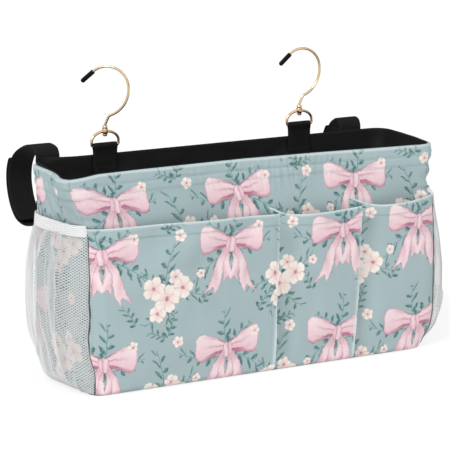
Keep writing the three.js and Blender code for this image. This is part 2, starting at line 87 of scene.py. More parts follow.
# The studio
# White card under the caddy in an even white room, lit by two large soft lamps, the stronger one from the
# front left. Polished metal mirrors a room that is bright above on the left and dark below on the right.
bpy.context.scene.view_settings.view_transform = "Standard"


def node(tree, kind, given=None, **settings):
    """A shader node so set, with values or other nodes' outputs given to its inputs by name or number."""
    made = tree.nodes.new("ShaderNode" + kind)
    for name, value in settings.items():
        setattr(made, name, value)
    for name, value in (given or {}).items():
        value = getattr(value, "socket", value)
        if isinstance(value, bpy.types.NodeSocket):
            tree.links.new(value, made.inputs[name])
        else:
            made.inputs[name].default_value = value
    return made


def new_material(name):
    """A material with an empty node tree, and the tree."""
    material = bpy.data.materials.new(name)
    material.use_nodes = True
    material.node_tree.nodes.clear()
    return material, material.node_tree


studio_card, tree = new_material("studio_card")
card = node(tree, "BsdfDiffuse", {"Color": (0.86, 0.86, 0.86, 1)}).outputs[0]
glow = node(tree, "Emission", {"Strength": 1.09}).outputs[0]
seen = node(tree, "LightPath").outputs["Is Camera Ray"]
lift = node(tree, "Math", {0: seen, 1: 0.72}, operation="MULTIPLY").outputs[0]
mixed = node(tree, "MixShader", {"Fac": lift, 1: card, 2: glow}).outputs[0]
node(tree, "OutputMaterial", {"Surface": mixed})
floor = bpy.data.meshes.new("floor")
floor.from_pydata([(-4, -4, 0), (4, -4, 0), (4, 4, 0), (-4, 4, 0)], [], [(0, 1, 2, 3)])
add_object("floor", floor, studio_card)

world = bpy.data.worlds.new("room")
bpy.context.scene.world = world
world.use_nodes = True
tree = world.node_tree
tree.nodes.clear()
ray = node(tree, "LightPath").outputs
room = node(tree, "Background", {"Color": (0.97, 0.985, 1.0, 1), "Strength": 0.62}).outputs[0]
white = node(tree, "Background", {"Color": (1, 1, 1, 1), "Strength": 1.0}).outputs[0]
seen = {0: ray["Is Camera Ray"], 1: ray["Is Transmission Ray"]}
seen = node(tree, "Math", seen, operation="MAXIMUM").outputs[0]
mixed = node(tree, "MixShader", {"Fac": seen, 1: room, 2: white}).outputs[0]
bright_side = Vector((-0.62, -0.30, 0.72)).normalized()
place = node(tree, "TexCoord").outputs["Generated"]
across = node(tree, "VectorMath", {0: place, 1: bright_side}, operation="DOT_PRODUCT").outputs["Value"]
share = node(tree, "Math", {0: across, 1: 0.5, 2: 0.5}, operation="MULTIPLY_ADD").outputs[0]
ramp = node(tree, "ValToRGB", {"Fac": share})
dark, bright = ramp.color_ramp.elements
dark.position = 0.40
dark.color = (0.045, 0.035, 0.028, 1)
bright.position = 0.80
bright.color = (1, 1, 1, 1)
mirrored = node(tree, "Background", {"Color": ramp.outputs["Color"]}).outputs[0]
glossy = node(tree, "MixShader", {"Fac": ray["Is Glossy Ray"], 1: mixed, 2: mirrored}).outputs[0]
node(tree, "OutputWorld", {"Surface": glossy})

for name, turn, rise, strength, spread in (("key_lamp", -57, 42, 1.74, 28), ("fill_lamp", 35, 30, 0.45, 50)):
    lamp_data = bpy.data.lights.new(name, "SUN")
    lamp_data.energy = strength
    lamp_data.angle = math.radians(spread)
    lamp = add_object(name, lamp_data)
    lamp.rotation_mode = "QUATERNION"
    lamp.rotation_quaternion = direction(turn, rise).to_track_quat("Z", "Y")

# The printed cloth
# Plain-woven polyester in dusty teal, printed with pink ribbon bows, cream blossoms and leaf sprigs on a
# half-drop repeat. The print is drawn by formula in millimetres over the cloth's own coordinates.
class Number:
    """A number that varies over a surface: the output of a shader node, with ordinary arithmetic."""

    def __init__(self, socket):
        self.socket = socket

    def __add__(self, other):
        return calculate("ADD", self, other)

    def __sub__(self, other):
        return calculate("SUBTRACT", self, other)

    def __rsub__(self, other):
        return calculate("SUBTRACT", other, self)

    def __mul__(self, other):
        return calculate("MULTIPLY", self, other)

    def __truediv__(self, other):
        return calculate("DIVIDE", self, other)

    def __pow__(self, other):
        return calculate("POWER", self, other)

    def __abs__(self):
        return calculate("ABSOLUTE", self)

    __radd__ = __add__
    __rmul__ = __mul__


def calculate(operation, *values, clamp=False):
    tree = next(value.socket.id_data for value in values if isinstance(value, Number))
    made = node(tree, "Math", dict(enumerate(values)), operation=operation, use_clamp=clamp)
    return Number(made.outputs[0])


def limited(value):
    return calculate("MULTIPLY", value, 1, clamp=True)


def length_of(x, y):
    return calculate("SQRT", x * x + y * y)


def turned(x, y, degrees):
    c, s = math.cos(math.radians(degrees)), math.sin(math.radians(degrees))
    return x * c + y * s, y * c - x * s


def srgb(red, green, blue):
    """A colour as it looks on a screen, 0 to 255, as the linear colour that a shader takes."""
    screen = [c / 255 for c in (red, green, blue)]
    return *(((c + 0.055) / 1.055) ** 2.4 if c > 0.04 else c / 12.92 for c in screen), 1


def painted(tree, under, amount, colour):
    """The colour under, covered with another colour by an amount from 0 to 1."""
    return node(tree, "Mix", {"Factor": limited(amount), 6: under, 7: colour}, data_type="RGBA").outputs[2]


def noise(tree, place, scale, detail=2.0, roughness=0.5):
    """Soft noise from 0 to 1, with features about 1 / scale apart."""
    given = {"Vector": place, "Scale": scale, "Detail": detail, "Roughness": roughness}
    return Number(node(tree, "TexNoise", given).outputs["Fac"])


ground = srgb(161, 179, 181)
ribbon_pale = srgb(236, 214, 217)
ribbon_mid = srgb(223, 184, 193)
ribbon_deep = srgb(176, 108, 131)
petal_cream = srgb(238, 229, 219)
petal_pink = srgb(222, 176, 178)
petal_heart = srgb(189, 112, 128)
leaf_dark = srgb(66, 107, 108)
leaf_light = srgb(132, 166, 163)

edge = 0.5  # mm over which a printed edge fades


def printed(distance):
    return limited(distance / edge + 0.5)


def ribbon_paint(tree, inside, shade, line, grain):
    """A ribbon's colours: pale to mid by shade, then deep rose in the creases and along the edge."""
    colour = painted(tree, ribbon_pale, shade + (grain - 0.5) * 0.9, ribbon_mid)
    return painted(tree, colour, line + limited(0.95 - inside) * 0.75, ribbon_deep)


def ribbon_tail(tree, under, across, drop, lean, half, length, grain):
    """One hanging end, mirrored on both sides, with a swallow-tail cut."""
    middle = drop * lean + 1.4 + calculate("SINE", drop * 0.15) * 2.0
    off = across - middle
    inside = calculate("MINIMUM", drop * 0.09 + half - abs(off), abs(off) * 1.1 + length - drop)
    inside = calculate("MINIMUM", inside, drop - 1)
    fold = calculate("SINE", drop * 0.3 + off * 0.55)
    shade = off * 0.12 + 0.35 + fold * 0.35
    line = limited(1.0 - drop / 13) * (0.35 + 0.5 * limited(0.8 - abs(off + 0.6)))
    return painted(tree, under, printed(inside), ribbon_paint(tree, inside, shade, line, grain))


def bow(tree, under, x, y, grain):
    """A ribbon bow, about 60 mm wide and 54 mm tall, with its knot at the origin."""
    y = y - x * 0.05 + (grain - 0.5) * 1.2
    across, drop = abs(x), 0 - y
    under = ribbon_tail(tree, under, across, drop, 0.1, 2.0, 25, grain)
    under = ribbon_tail(tree, under, across, drop, 0.5, 2.5, 33, grain)

    out = across / 30
    half = (out * 11.0 + 3.2) * calculate("SQRT", calculate("MAXIMUM", 1 - out ** 9, 0))
    height = y - 1.5 - out * 4.5 - calculate("SINE", out * 5) * 0.8
    inside = calculate("MINIMUM", half - abs(height), 29.7 - across)
    part = height / calculate("MAXIMUM", half, 0.5)
    crease = (calculate("SINE", part * 8 + calculate("SINE", out * 4 + x * 0.04) * 1.4) * 0.5 + 0.5) ** 4
    near = limited(1.1 - out * 1.35)
    under_side = limited((calculate("SINE", out * 5 + 0.6) * 0.13 - 0.62 - part) * 8)
    shade = limited(0.25 - part * 0.6) + near * 0.35 + limited(0.8 - abs(out - 0.55) * 6) * part * 0.4
    line = crease * near * 0.75 + under_side * (0.65 - out * 0.3)
    colour = ribbon_paint(tree, inside, shade, line, grain)
    under = painted(tree, under, printed(inside), colour)

    inside = (1 - calculate("MAXIMUM", abs(x / 4.6) ** 2.6 + abs(y / 6.2) ** 2.6, 0)) * 3.4
    line = (calculate("SINE", x * 1.35 + calculate("SINE", y * 0.35) * 0.8) * 0.5 + 0.5) ** 3 * 0.5
    shade = x * 0.1 + 0.3 + abs(y) * 0.06
    return painted(tree, under, printed(inside), ribbon_paint(tree, inside, shade, line, grain))


def blossom(tree, under, x, y, radius, grain):
    """A five-petalled blossom seen from the front."""
    out = length_of(x, y) / radius
    bearing = calculate("ARCTAN2", y, x)
    lobe = abs(calculate("COSINE", bearing * 2.5))
    reach = lobe ** 0.45 * 0.36 + 0.62 + calculate("SINE", bearing * 13) * 0.03
    inside = (reach - out) * radius
    streak = (calculate("SINE", bearing * 25 + grain * 3) * 0.5 + 0.5) ** 2
    flush = limited(1.2 - out * 1.7) * (streak * 0.6 + 0.35)
    parting = limited(1 - lobe * 3.2) * limited(out * 2.2) * 0.75
    shade = flush + parting + limited(0.9 - inside) * 0.4 + (grain - 0.5) * 0.8
    colour = painted(tree, petal_cream, shade, petal_pink)
    heart = printed((0.14 + streak * 0.07 - out) * radius)
    return painted(tree, under, printed(inside), painted(tree, colour, heart * 0.85, petal_heart))


def sprig(tree, under, x, y, length, leaf, grain):
    """A bent stem that grows along +y with pointed leaves on alternate sides, each so long."""
    x = x - y * y * 0.011
    shift = calculate("GREATER_THAN", x, 0) * leaf * 0.4
    along = calculate("FLOORED_MODULO", y + shift, leaf * 0.8) - leaf * 0.3
    leaf_x, leaf_y = turned(abs(x), along, 42)
    middle = leaf_x / leaf - 0.52
    size = limited(1.15 - y / (length * 1.3))
    blade = (0.27 - middle * middle) * leaf * 0.75 * size - abs(leaf_y)
    stem = 0.36 - abs(x)
    ends = calculate("MINIMUM", y, length - y)
    inside = calculate("MINIMUM", calculate("MAXIMUM", blade, stem), ends)
    shade = limited(leaf_y * 0.45 + 0.25) + y / length * 0.25 + (grain - 0.5) * 2.0
    return painted(tree, under, printed(inside), painted(tree, leaf_dark, shade, leaf_light))


repeat = (112, 84)  # mm across and up. Each motif turns over from one repeat to the next.
bow_place = (30, 50)
# Place, heading, length and leaf size
sprigs = (
    (30, 52, 24, 29, 10), (30, 52, -38, 27, 9), (26, 46, 104, 38, 10), (34, 46, -98, 40, 11),
    (30, 44, 168, 30, 9), (84, 16, 12, 38, 11), (88, 18, 74, 31, 10), (82, 14, -72, 33, 10),
    (86, 10, 146, 26, 10), (80, 12, -140, 24, 9), (86, 66, 28, 22, 7), (84, 66, -60, 16, 6),
    (58, 78, -24, 20, 7), (4, 6, 40, 18, 7),
)
# Place and radius
blossoms = (
    (85, 13, 11.5), (99, 21, 9.5), (73, 22, 10), (77, 2, 7.5), (92, 30, 6.5), (96, 62, 5), (56, 62, 4.5),
    (3, 30, 4),
)


def group(name, numbers, draw, coloured=True):
    """A node group that returns a colour. draw gets its tree, the colour under the motif and the numbers."""
    tree = bpy.data.node_groups.new(name, "ShaderNodeTree")
    if coloured:
        tree.interface.new_socket("under", in_out="INPUT", socket_type="NodeSocketColor")
    for number in numbers:
        tree.interface.new_socket(number, in_out="INPUT", socket_type="NodeSocketFloat")
    tree.interface.new_socket("colour", in_out="OUTPUT", socket_type="NodeSocketColor")
    given = list(tree.nodes.new("NodeGroupInput").outputs)[:-1]
    under = given.pop(0) if coloured else ground
    colour = draw(tree, under, *map(Number, given))
    tree.links.new(colour, tree.nodes.new("NodeGroupOutput").inputs[0])
    return tree


def use(tree, made, *values):
    """The colour of a node group with these values: for a motif, the colour under it and its numbers."""
    return node(tree, "Group", dict(enumerate(values)), node_tree=made).outputs[0]


bow_group = group("bow", ("x", "y", "grain"), bow)
blossom_group = group("blossom", ("x", "y", "radius", "grain"), blossom)
sprig_group = group("sprig", ("x", "y", "length", "leaf", "grain"), sprig)


def whole_print(tree, colour, u, v, grain):
    """The print's colour at a place on the cloth, in millimetres."""
    wide, tall = repeat

    def around(x0, y0):
        shift_u, shift_v = (u - x0) / wide + 0.5, (v - y0) / tall + 0.5
        column = calculate("FLOOR", shift_u)
        row = calculate("FLOOR", shift_v)
        mirror = 1 - calculate("FLOORED_MODULO", column + row, 2) * 2
        return (shift_u - column - 0.5) * wide * mirror, (shift_v - row - 0.5) * tall

    for x0, y0, heading, length, leaf in sprigs:
        x, y = around(x0, y0)
        colour = use(tree, sprig_group, colour, *turned(x, y, heading), length, leaf, grain)
    colour = use(tree, bow_group, colour, *around(*bow_place), grain)
    for x0, y0, radius in blossoms:
        colour = use(tree, blossom_group, colour, *around(x0, y0), radius, grain)
    return colour


print_group = group("print", ("u", "v", "grain"), whole_print, coloured=False)


def weave(u, v, pitch):
    """The height of a plain weave's threads from 0 to 1, in the unit of u, v and pitch."""
    u, v = u * (2 * math.pi / pitch), v * (2 * math.pi / pitch)
    over = calculate("SINE", u) * calculate("SINE", v)
    return calculate("MAXIMUM", over, calculate("COSINE", u) * calculate("COSINE", v)) * 0.5 + 0.5


def cloth_place(tree, offset=(0, 0)):
    """A place on a cloth: its UV map's, and millimetres across and up."""
    uv = node(tree, "UVMap", uv_map="cloth").outputs[0]
    apart = node(tree, "SeparateXYZ", {0: uv}).outputs
    return uv, *(Number(apart[i]) * 1000 + offset[i] for i in (0, 1))


def raised(tree, height, depth, strength=1.0):
    """A bump from a height of 0 to 1, so many metres deep."""
    return node(tree, "Bump", {"Distance": depth, "Strength": strength, "Height": height}).outputs[0]


print_size = 1.18  # of the print on the cloth, against its own millimetres
print_wander = 3.4  # mm, from the hand of its drawing
painted_fold_highlight = srgb(224, 234, 234)


def printed_cloth(name, offset):
    """Woven and mottled cloth. Its fold attribute paints a highlight on folded edges where positive, and
    paints shade where below zero.
    """
    material, tree = new_material(name)
    place, u, v = cloth_place(tree, offset)
    across = (u + (noise(tree, place, 230, 3) - 0.5) * print_wander) / print_size
    up = (v + (noise(tree, place, 170, 3) - 0.5) * print_wander) / print_size
    colour = use(tree, print_group, across, up, noise(tree, place, 340, 4, 0.6))
    threads = weave(u, v, 0.56)
    mottle = noise(tree, place, 30, 4) * 0.5 + noise(tree, place, 900, 1) * 0.5
    fold = Number(node(tree, "Attribute", attribute_name="fold").outputs["Fac"])
    # Painted shade: where the fold attribute is below zero the colour is darkened.
    tone = (mottle - 0.5) * 0.22 + (threads - 0.5) * 0.1 + 1 - limited(0 - fold) * 0.30
    toned = node(tree, "VectorMath", {0: colour, "Scale": tone}, operation="SCALE").outputs[0]
    surface = node(tree, "BsdfPrincipled", {
        # Painted highlight: where the fold attribute is positive the colour is paled towards a light teal.
        "Base Color": painted(tree, toned, limited(fold) * 0.60, painted_fold_highlight),
        "Roughness": 0.74 - mottle * 0.1,
        "Specular IOR Level": 0.35,
        "Sheen Weight": 0.12,
        "Sheen Roughness": 0.4,
        "Normal": raised(tree, threads * 0.7 + mottle * 0.3, 0.00006, 0.6),
    })
    node(tree, "OutputMaterial", {"Surface": surface.outputs[0]})
    return material


# The bag's outer cloth
# Four panels of the printed cloth, sewn at the corners, rolled under at the floor and turned in over the rim,
# where two rows of stitching hold a flat elastic that gathers the hem a little.
half_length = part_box("right_end_panel")[1].x
half_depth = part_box("back_panel")[1].y
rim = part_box("front_panel")[1].z
band_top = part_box("left_mesh_band")[1].z
corner_radius = 0.022
front_roll, end_roll = 0.006, 0.018  # radius of the bottom edge
end_taper = 0.005  # how far the ends draw in from the rim to the net's elastic
seam_from_corner = corner_radius * math.radians(40)
cloth_thickness = 0.0009
edge_round = 0.4  # of a cloth's thickness, how far its edges bulge

core_x, core_y = half_length - corner_radius, half_depth - corner_radius
quarter_arc = corner_radius * math.pi / 2
to_back = [core_x, quarter_arc, 2 * core_y, quarter_arc]
marks = np.cumsum([0, *to_back, 2 * core_x, *to_back[:0:-1], core_x])
around_bag = marks[-1]
facings = np.radians([0, 0, 90, 90, 180, 180, 270, 270, 360, 360])
cores_x = np.array([0, 1, 1, 1, 1, -1, -1, -1, -1, 0]) * core_x
cores_y = np.array([-1, -1, -1, 1, 1, 1, 1, -1, -1, -1]) * core_y


def roll_radius(s):
    facing = np.interp(np.asarray(s, float) % around_bag, marks, facings)
    return front_roll + (end_roll - front_roll) * np.sin(facing) ** 2


def ridge(distance, width):
    return np.exp(-(np.asarray(distance) / width) ** 2)


def smooth(value):
    value = np.clip(value, 0, 1)
    return value * value * (3 - 2 * value)


def distance_round(s, place):
    return np.abs((np.asarray(s) - place + around_bag / 2) % around_bag - around_bag / 2)


# The soft bag has settled a little out of square. Its rim slants, and the rim's corners are sharper than the
# base's, with the front left one jutting out. The right end reaches further out. The nets' elastic draws the
# corners in, and the back left one has given way at the floor. The front left seam wanders.
rim_slant = 0.151
corner_middles = [core_x + quarter_arc / 2, core_x + 1.5 * quarter_arc + 2 * core_y]
corner_middles = [*corner_middles, around_bag - corner_middles[1], around_bag - corner_middles[0]]
# Front right, back right, back left and front left
rim_pushes = (0.0035, 0.0015, -0.0010, 0.0040)
waist_draws = (0.002, 0.002, 0.0055, 0.002)
foot_draws = (0.007, 0.003, 0.017, 0.003)
foot_heights = (0.025, 0.030, 0.050, 0.040)
rim_jut = 0.0050
hip_push = 0.0050  # at the front right corner, where the pocket's seam holds the cloth out
right_reach = 0.0050  # how much further the soft right end reaches, and its rim again in the middle
left_seam = -core_x - seam_from_corner
seam_heights = (0, 0.011, 0.024, 0.036, 0.053, 0.073, 0.089, 0.108, 0.130, 0.150)
seam_wander = (0.0042, 0.0052, 0.0042, 0.0008, -0.0008, 0.0008, 0, 0.0010, 0, -0.0006)


def wall(s, z, out=0.0):
    """Points so far outside the bag's outer face. s runs to the right round it from the front's middle."""
    s = np.asarray(s, float)
    s = s + np.interp(z, seam_heights, seam_wander) * ridge(distance_round(s, left_seam), 0.016)
    s = s % around_bag
    facing = np.interp(s, marks, facings)
    roll = roll_radius(s)
    low = np.clip(roll - z, 0, roll)
    under = roll - np.sqrt(roll ** 2 - low ** 2)
    settled = smooth((z - 0.142) / 0.055)
    near = [ridge(distance_round(s, place), 0.011) for place in corner_middles]
    wide = [ridge(distance_round(s, place), 0.020) for place in corner_middles]
    push = sum(map(np.multiply, rim_pushes, near)) * settled
    waist = sum(map(np.multiply, waist_draws, wide)) * ridge(z - 0.150, 0.030)
    lows = [1 - smooth(z / top) for top in foot_heights]
    foot = sum(pull * near_by * low_by for pull, near_by, low_by in zip(foot_draws, wide, lows))
    hip = hip_push * near[0] * smooth((0.156 - z) / 0.006) * smooth(z / 0.045)
    reach = corner_radius + out + push + hip - waist - np.sqrt(under ** 2 + foot ** 2)
    draw = 1 - end_taper / half_length * np.clip((rim - z) / (rim - band_top), 0, 1)
    jut = rim_jut * ridge(distance_round(s, corner_middles[3] - 0.008), 0.022)
    bow = right_reach * ridge(distance_round(s, core_x + quarter_arc + core_y), 0.034)
    x = (np.interp(s, marks, cores_x) + reach * np.sin(facing)) * draw
    x = x + right_reach * smooth((x - 0.125) / 0.065) + (bow - jut) * settled
    y = np.interp(s, marks, cores_y) - reach * np.cos(facing)
    return np.stack(np.broadcast_arrays(x + rim_slant * y * settled, y, z), -1)


def up_the_wall(s, tops, start=0.0):
    """Heights from a share of the roll up to each place's top, and the cloth's length up to them."""
    roll = roll_radius(s)
    angles = np.linspace(start, 1, 7)[:-1, None] * math.pi / 2
    straight = roll + (tops - roll) * np.linspace(0, 1, round(float(np.max(tops)) / mesh_step))[:, None]
    z = np.concatenate([roll * (1 - np.cos(angles)), straight])
    return z, np.concatenate([roll * (1 - math.pi / 2 + angles), straight])


def waves(s, z, size, seed, count=9):
    """A smooth random field of about -1 to 1 that runs round the bag, with swells about that size."""
    draw = np.random.default_rng(seed)
    field = 0
    for _ in range(count):
        heading, shift = draw.uniform(0, math.pi), draw.uniform(0, 2 * math.pi)
        pitch = size * draw.uniform(0.7, 1.6)
        turns = round(around_bag * math.cos(heading) / pitch)
        up = z * math.sin(heading) * 2 * math.pi / pitch
        field = field + np.sin(s * turns * 2 * math.pi / around_bag + up + shift)
    return field / math.sqrt(count)


def skin(name, points, faces, uv=None, fold=None):
    """A smooth mesh from arrays. A face whose last two corners are the same point is a triangle."""
    mesh = bpy.data.meshes.new(name)
    keep = np.ones(faces.shape, bool)
    keep[:, 3] = faces[:, 2] != faces[:, 3]
    corners = faces[keep]
    mesh.vertices.add(len(points))
    mesh.vertices.foreach_set("co", np.ascontiguousarray(points, np.float32).ravel())
    mesh.loops.add(len(corners))
    mesh.loops.foreach_set("vertex_index", corners.astype(np.int32))
    mesh.polygons.add(len(faces))
    mesh.polygons.foreach_set("loop_start", (np.cumsum(keep.sum(1)) - keep.sum(1)).astype(np.int32))
    mesh.polygons.foreach_set("use_smooth", np.ones(len(faces), bool))
    if uv is not None:
        mesh.uv_layers.new(name="cloth").data.foreach_set("uv", uv[corners].astype(np.float32).ravel())
    # The fold attribute carries painted highlight and painted shade for the printed cloth.
    if fold is not None:
        mesh.attributes.new("fold", "FLOAT", "POINT").data.foreach_set("value", fold.astype(np.float32))
    mesh.update(calc_edges=True)
    return mesh


def unit(vectors):
    return vectors / np.maximum(np.linalg.norm(vectors, axis=-1, keepdims=True), 1e-12)


def grid(*values):
    """Arrays of numbers as the places or points of one grid."""
    return np.stack(np.broadcast_arrays(*values), -1)


def quads(number, flip=False, wrap=False):
    """The faces between a grid's vertex numbers. A wrapped grid goes on from its last column to its first."""
    if wrap:
        number = np.pad(number, ((0, 0), (0, 1)), "wrap")
    a, b, c, d = number[:-1, :-1], number[:-1, 1:], number[1:, 1:], number[1:, :-1]
    return np.stack((a, d, c, b) if flip else (a, b, c, d), -1).reshape(-1, 4)


def cloth(name, outer, uv, thickness=cloth_thickness, wrap=False, fold=None):
    """A closed piece of cloth behind a grid of points, rows up and columns to the right, with round edges."""
    padded = np.pad(outer, ((0, 0), (1, 1), (0, 0)), "wrap")
    along = padded[:, 2:] - padded[:, :-2] if wrap else np.gradient(outer, axis=1)
    inner = outer - unit(np.cross(along, np.gradient(outer, axis=0))) * thickness
    fold = np.zeros(outer.shape[:2]) if fold is None else fold
    number = np.arange(fold.size).reshape(fold.shape)
    if wrap:
        border, inward = [number[0], number[-1]], [number[1], number[-2]]
    else:
        border = [np.concatenate([number[0], number[1:-1, -1], number[-1][::-1], number[1:-1, 0][::-1]])]
        inward = [np.concatenate([number[1], number[1:-1, -2], number[-2][::-1], number[1:-1, 1][::-1]])]
    outer, inner, uv, fold = outer.reshape(-1, 3), inner.reshape(-1, 3), uv.reshape(-1, 2), fold.ravel()
    made = [[outer, inner], [uv, uv], [fold, fold]]
    outside = quads(number, wrap=wrap)
    faces = [outside, outside[:, ::-1] + number.size]
    for line, back, flip in zip(border, inward, (False, True)):
        middle = (outer[line] + inner[line]) / 2
        away = unit(middle - (outer[back] + inner[back]) / 2)
        edge_line = sum(map(len, made[0])) + np.arange(len(line))
        for values, added in zip(made, (middle + away * thickness * edge_round, uv[line], fold[line])):
            values.append(added)
        for a, b in ((line, edge_line), (edge_line, line + number.size)):
            side = np.stack([a, b, np.roll(b, -1), np.roll(a, -1)], -1)
            faces.append(side[:, ::-1] if flip else side)
    points, uv, fold = map(np.concatenate, made)
    return skin(name, points, np.concatenate(faces), uv, fold)


front_edge = core_x + seam_from_corner
end_stop = core_x + 2 * quarter_arc + 2 * core_y - seam_from_corner
back_stop = around_bag - end_stop
seams = np.array([front_edge, end_stop, back_stop, around_bag - front_edge])
end_run = end_stop - front_edge  # of one end panel, from seam to seam
casing_rows = (0.0100, 0.0195)  # below the rim, the stitching that holds the elastic
lip_radius = 0.0012  # of the hem's turn over the rim
hem_reach = 0.0030  # how far the turned hem reaches in over the rim
mesh_step = 0.0013  # between the points of a cloth's mesh


def rim_height(s):
    """The rim stands a little higher along the front, most towards the left."""
    front_s = (np.asarray(s) + around_bag / 2) % around_bag - around_bag / 2
    places = (-0.215, -0.192, -0.168, -0.124, -0.016, 0.060, 0.108, 0.155, 0.190)
    return rim + np.interp(front_s, places, (0, -0.0004, 0.0026, 0.0032, 0.0036, 0.0026, 0.0016, 0.0006, 0))


def swell(s, z):
    """How far the outer cloth stands off the wall, with the puffed and puckered casing at the rim."""
    below = rim_height(s) - z
    grooves = sum(ridge(below - row, 0.0010) for row in casing_rows)
    casing = smooth((casing_rows[1] + 0.003 - below) / 0.006)
    strength = 0.6 + 0.4 * waves(s, 0 * z, 0.16, 11, 5)
    fade = np.where(below > casing_rows[1], np.exp(-(below - casing_rows[1]) / 0.014), 1)
    pucker = np.abs(waves(s, z * 0.2, 0.008, 12, 6)) * np.clip(strength, 0.15, 1.2) * fade
    puff = casing * (0.0008 - 0.0007 * grooves)
    puff = puff + pucker * 0.0009 * np.clip(below / 0.004, 0.2, 1) * (1 - 0.7 * grooves)
    seam = np.min([distance_round(s, place) for place in seams], axis=0)
    tuck = -0.0004 * ridge(seam, 0.0014) + 0.0004 * np.sin(z * 740 + 9 * s) * np.exp(-seam / 0.006)
    free = 0.35 + 0.65 * smooth((z - 0.128) / 0.03)
    above = smooth((z - 0.152) / 0.012)
    left_corner = distance_round(s, corner_middles[3])
    right_corner = distance_round(s, corner_middles[0] + 0.006)
    creases = 0.0008 * np.sin(s * 620 + z * 90) * ridge(left_corner, 0.022) * ridge(z - 0.166, 0.014)
    slants = 0.0009 * np.sin((s + 0.8 * z) * 290) * ridge(distance_round(s, corner_middles[3] - 0.045), 0.035)
    gathers = 0.0013 * np.sin(z * 370 + s * 60 + 1.0) * ridge(right_corner, 0.016)
    puff = puff + (creases + slants + gathers) * above * smooth(below / 0.006)
    return (puff + (0.0009 + 0.0009 * waves(s, z, 0.075, 13)) * free + tuck * free) * smooth(z / 0.006)


def outer_panel(name, first, last):
    s = np.linspace(first, last, round((last - first) / mesh_step))
    tops = rim_height(s) - lip_radius
    z, v = up_the_wall(s, tops)
    out = swell(s, z)
    turns = np.linspace(0, math.pi / 2, 5)[1:, None]
    lip_z = tops + lip_radius * np.sin(turns)
    lip_out = out[-1] * np.cos(turns) - lip_radius * (1 - np.cos(turns))
    z = np.concatenate([z, lip_z, lip_z[-1:]])
    out = np.concatenate([out, lip_out, lip_out[-1:] * 0 - hem_reach])
    v = np.concatenate([v, v[-1] + lip_radius * turns, v[-1:] + lip_radius * (math.pi / 2 - 1) + hem_reach])
    # Painted highlight along the hem's turn over the rim, carried by the fold attribute.
    fold = np.zeros(z.shape)
    fold[-6:-1] = 0.6
    return add_object(name, cloth(name, wall(s, z, out), grid(s, v), fold=fold), panel_cloth)


panel_cloth = printed_cloth("panel_print", (61, 84))


def belongs(piece, body, slot, *replaced):
    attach(piece, body)
    if replaced:
        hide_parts(*replaced)


for name, first, last in (
    ("front", -front_edge, front_edge),
    ("right_end", front_edge, end_stop),
    ("back", end_stop, back_stop),
    ("left_end", back_stop - around_bag, -front_edge),
):
    piece = outer_panel(name + "_cloth", first + 0.0001, last - 0.0001)
    belongs(piece, "bag", "print_cloth", name + "_panel")


def plate(name, stands_for, inset, material, slot):
    """A level plate inside the wall at a CAD plate's heights. Its cloth coordinates are its own x and y."""
    heights = [corner.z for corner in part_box(stands_for)]
    edge_line = wall(np.linspace(0, around_bag, 241)[:-1], sum(heights) / 2, -inset)[:, :2]
    count = len(edge_line)
    points = [(x, y, z) for z in heights for x, y in edge_line]
    sides = [(i, (i + 1) % count, (i + 1) % count + count, i + count) for i in range(count)]
    mesh = bpy.data.meshes.new(name)
    mesh.from_pydata(points, [], [tuple(range(count))[::-1], tuple(range(count, 2 * count)), *sides])
    uv = [value for loop in mesh.loops for value in points[loop.vertex_index][:2]]
    mesh.uv_layers.new(name="cloth").data.foreach_set("uv", uv)
    belongs(add_object(name, mesh, material), "bag", slot, stands_for)


plate("base_cloth", "base_panel", 0.0002, panel_cloth, "print_cloth")

# The stitching
# Spun polyester thread in lockstitch: teal on the printed cloth, pulled a little way into it at each hole.
stitch_pitch, stitch_gap, thread_radius = 0.0030, 0.0007, 0.00022


def plain_material(name, colour, roughness, specular=0.4, metallic=0.0, grain=None):
    """One colour. grain is the pitch and depth in metres of a weave on the cloth's coordinates."""
    material, tree = new_material(name)
    given = {
        "Base Color": srgb(*colour),
        "Roughness": roughness,
        "Specular IOR Level": specular,
        "Metallic": metallic,
    }
    if grain:
        _, u, v = cloth_place(tree)
        given["Normal"] = raised(tree, weave(u, v, grain[0] * 1000), grain[1])
    node(tree, "OutputMaterial", {"Surface": node(tree, "BsdfPrincipled", given).outputs[0]})
    return material


def spokes(first, second, sides):
    """Unit vectors all round, from first by way of second."""
    angles = np.linspace(0, 2 * math.pi, sides + 1)[:-1, None]
    return first[..., None, :] * np.cos(angles) + second[..., None, :] * np.sin(angles)


def spindles(name, starts, ends, normals, radius):
    """Short stitches of thread, each from a start to an end, bowed up along its normal."""
    along = ends - starts
    shares = np.array([0, 0.12, 0.5, 0.88, 1])
    girth = np.array([0.25, 0.85, 1, 0.85, 0.25]) * radius
    lift = np.array([-0.6, 0.3, 0.7, 0.3, -0.6]) * radius
    middle = starts[:, None] + along[:, None] * shares[:, None] + normals[:, None] * lift[:, None]
    spoke = spokes(unit(np.cross(along, normals)), normals, 6)
    points = middle[:, :, None] + spoke[:, None] * girth[:, None, None]
    caps = np.array([[0, 1, 2, 3], [0, 3, 4, 5], [27, 26, 25, 24], [24, 29, 28, 27]])
    single = np.concatenate([quads(np.arange(30).reshape(5, 6), True, True), caps])
    faces = (single[None] + np.arange(len(starts))[:, None, None] * 30).reshape(-1, 4)
    return skin(name, points.reshape(-1, 3), faces)


def distances(line):
    """How far along a line each of its points is."""
    return np.concatenate([[0], np.cumsum(np.linalg.norm(np.diff(line, axis=0), axis=1))])


def picked(values, run, where):
    """The values that lie along a run of distances, at other distances."""
    return np.stack([np.interp(where, run, column) for column in np.transpose(values)], -1)


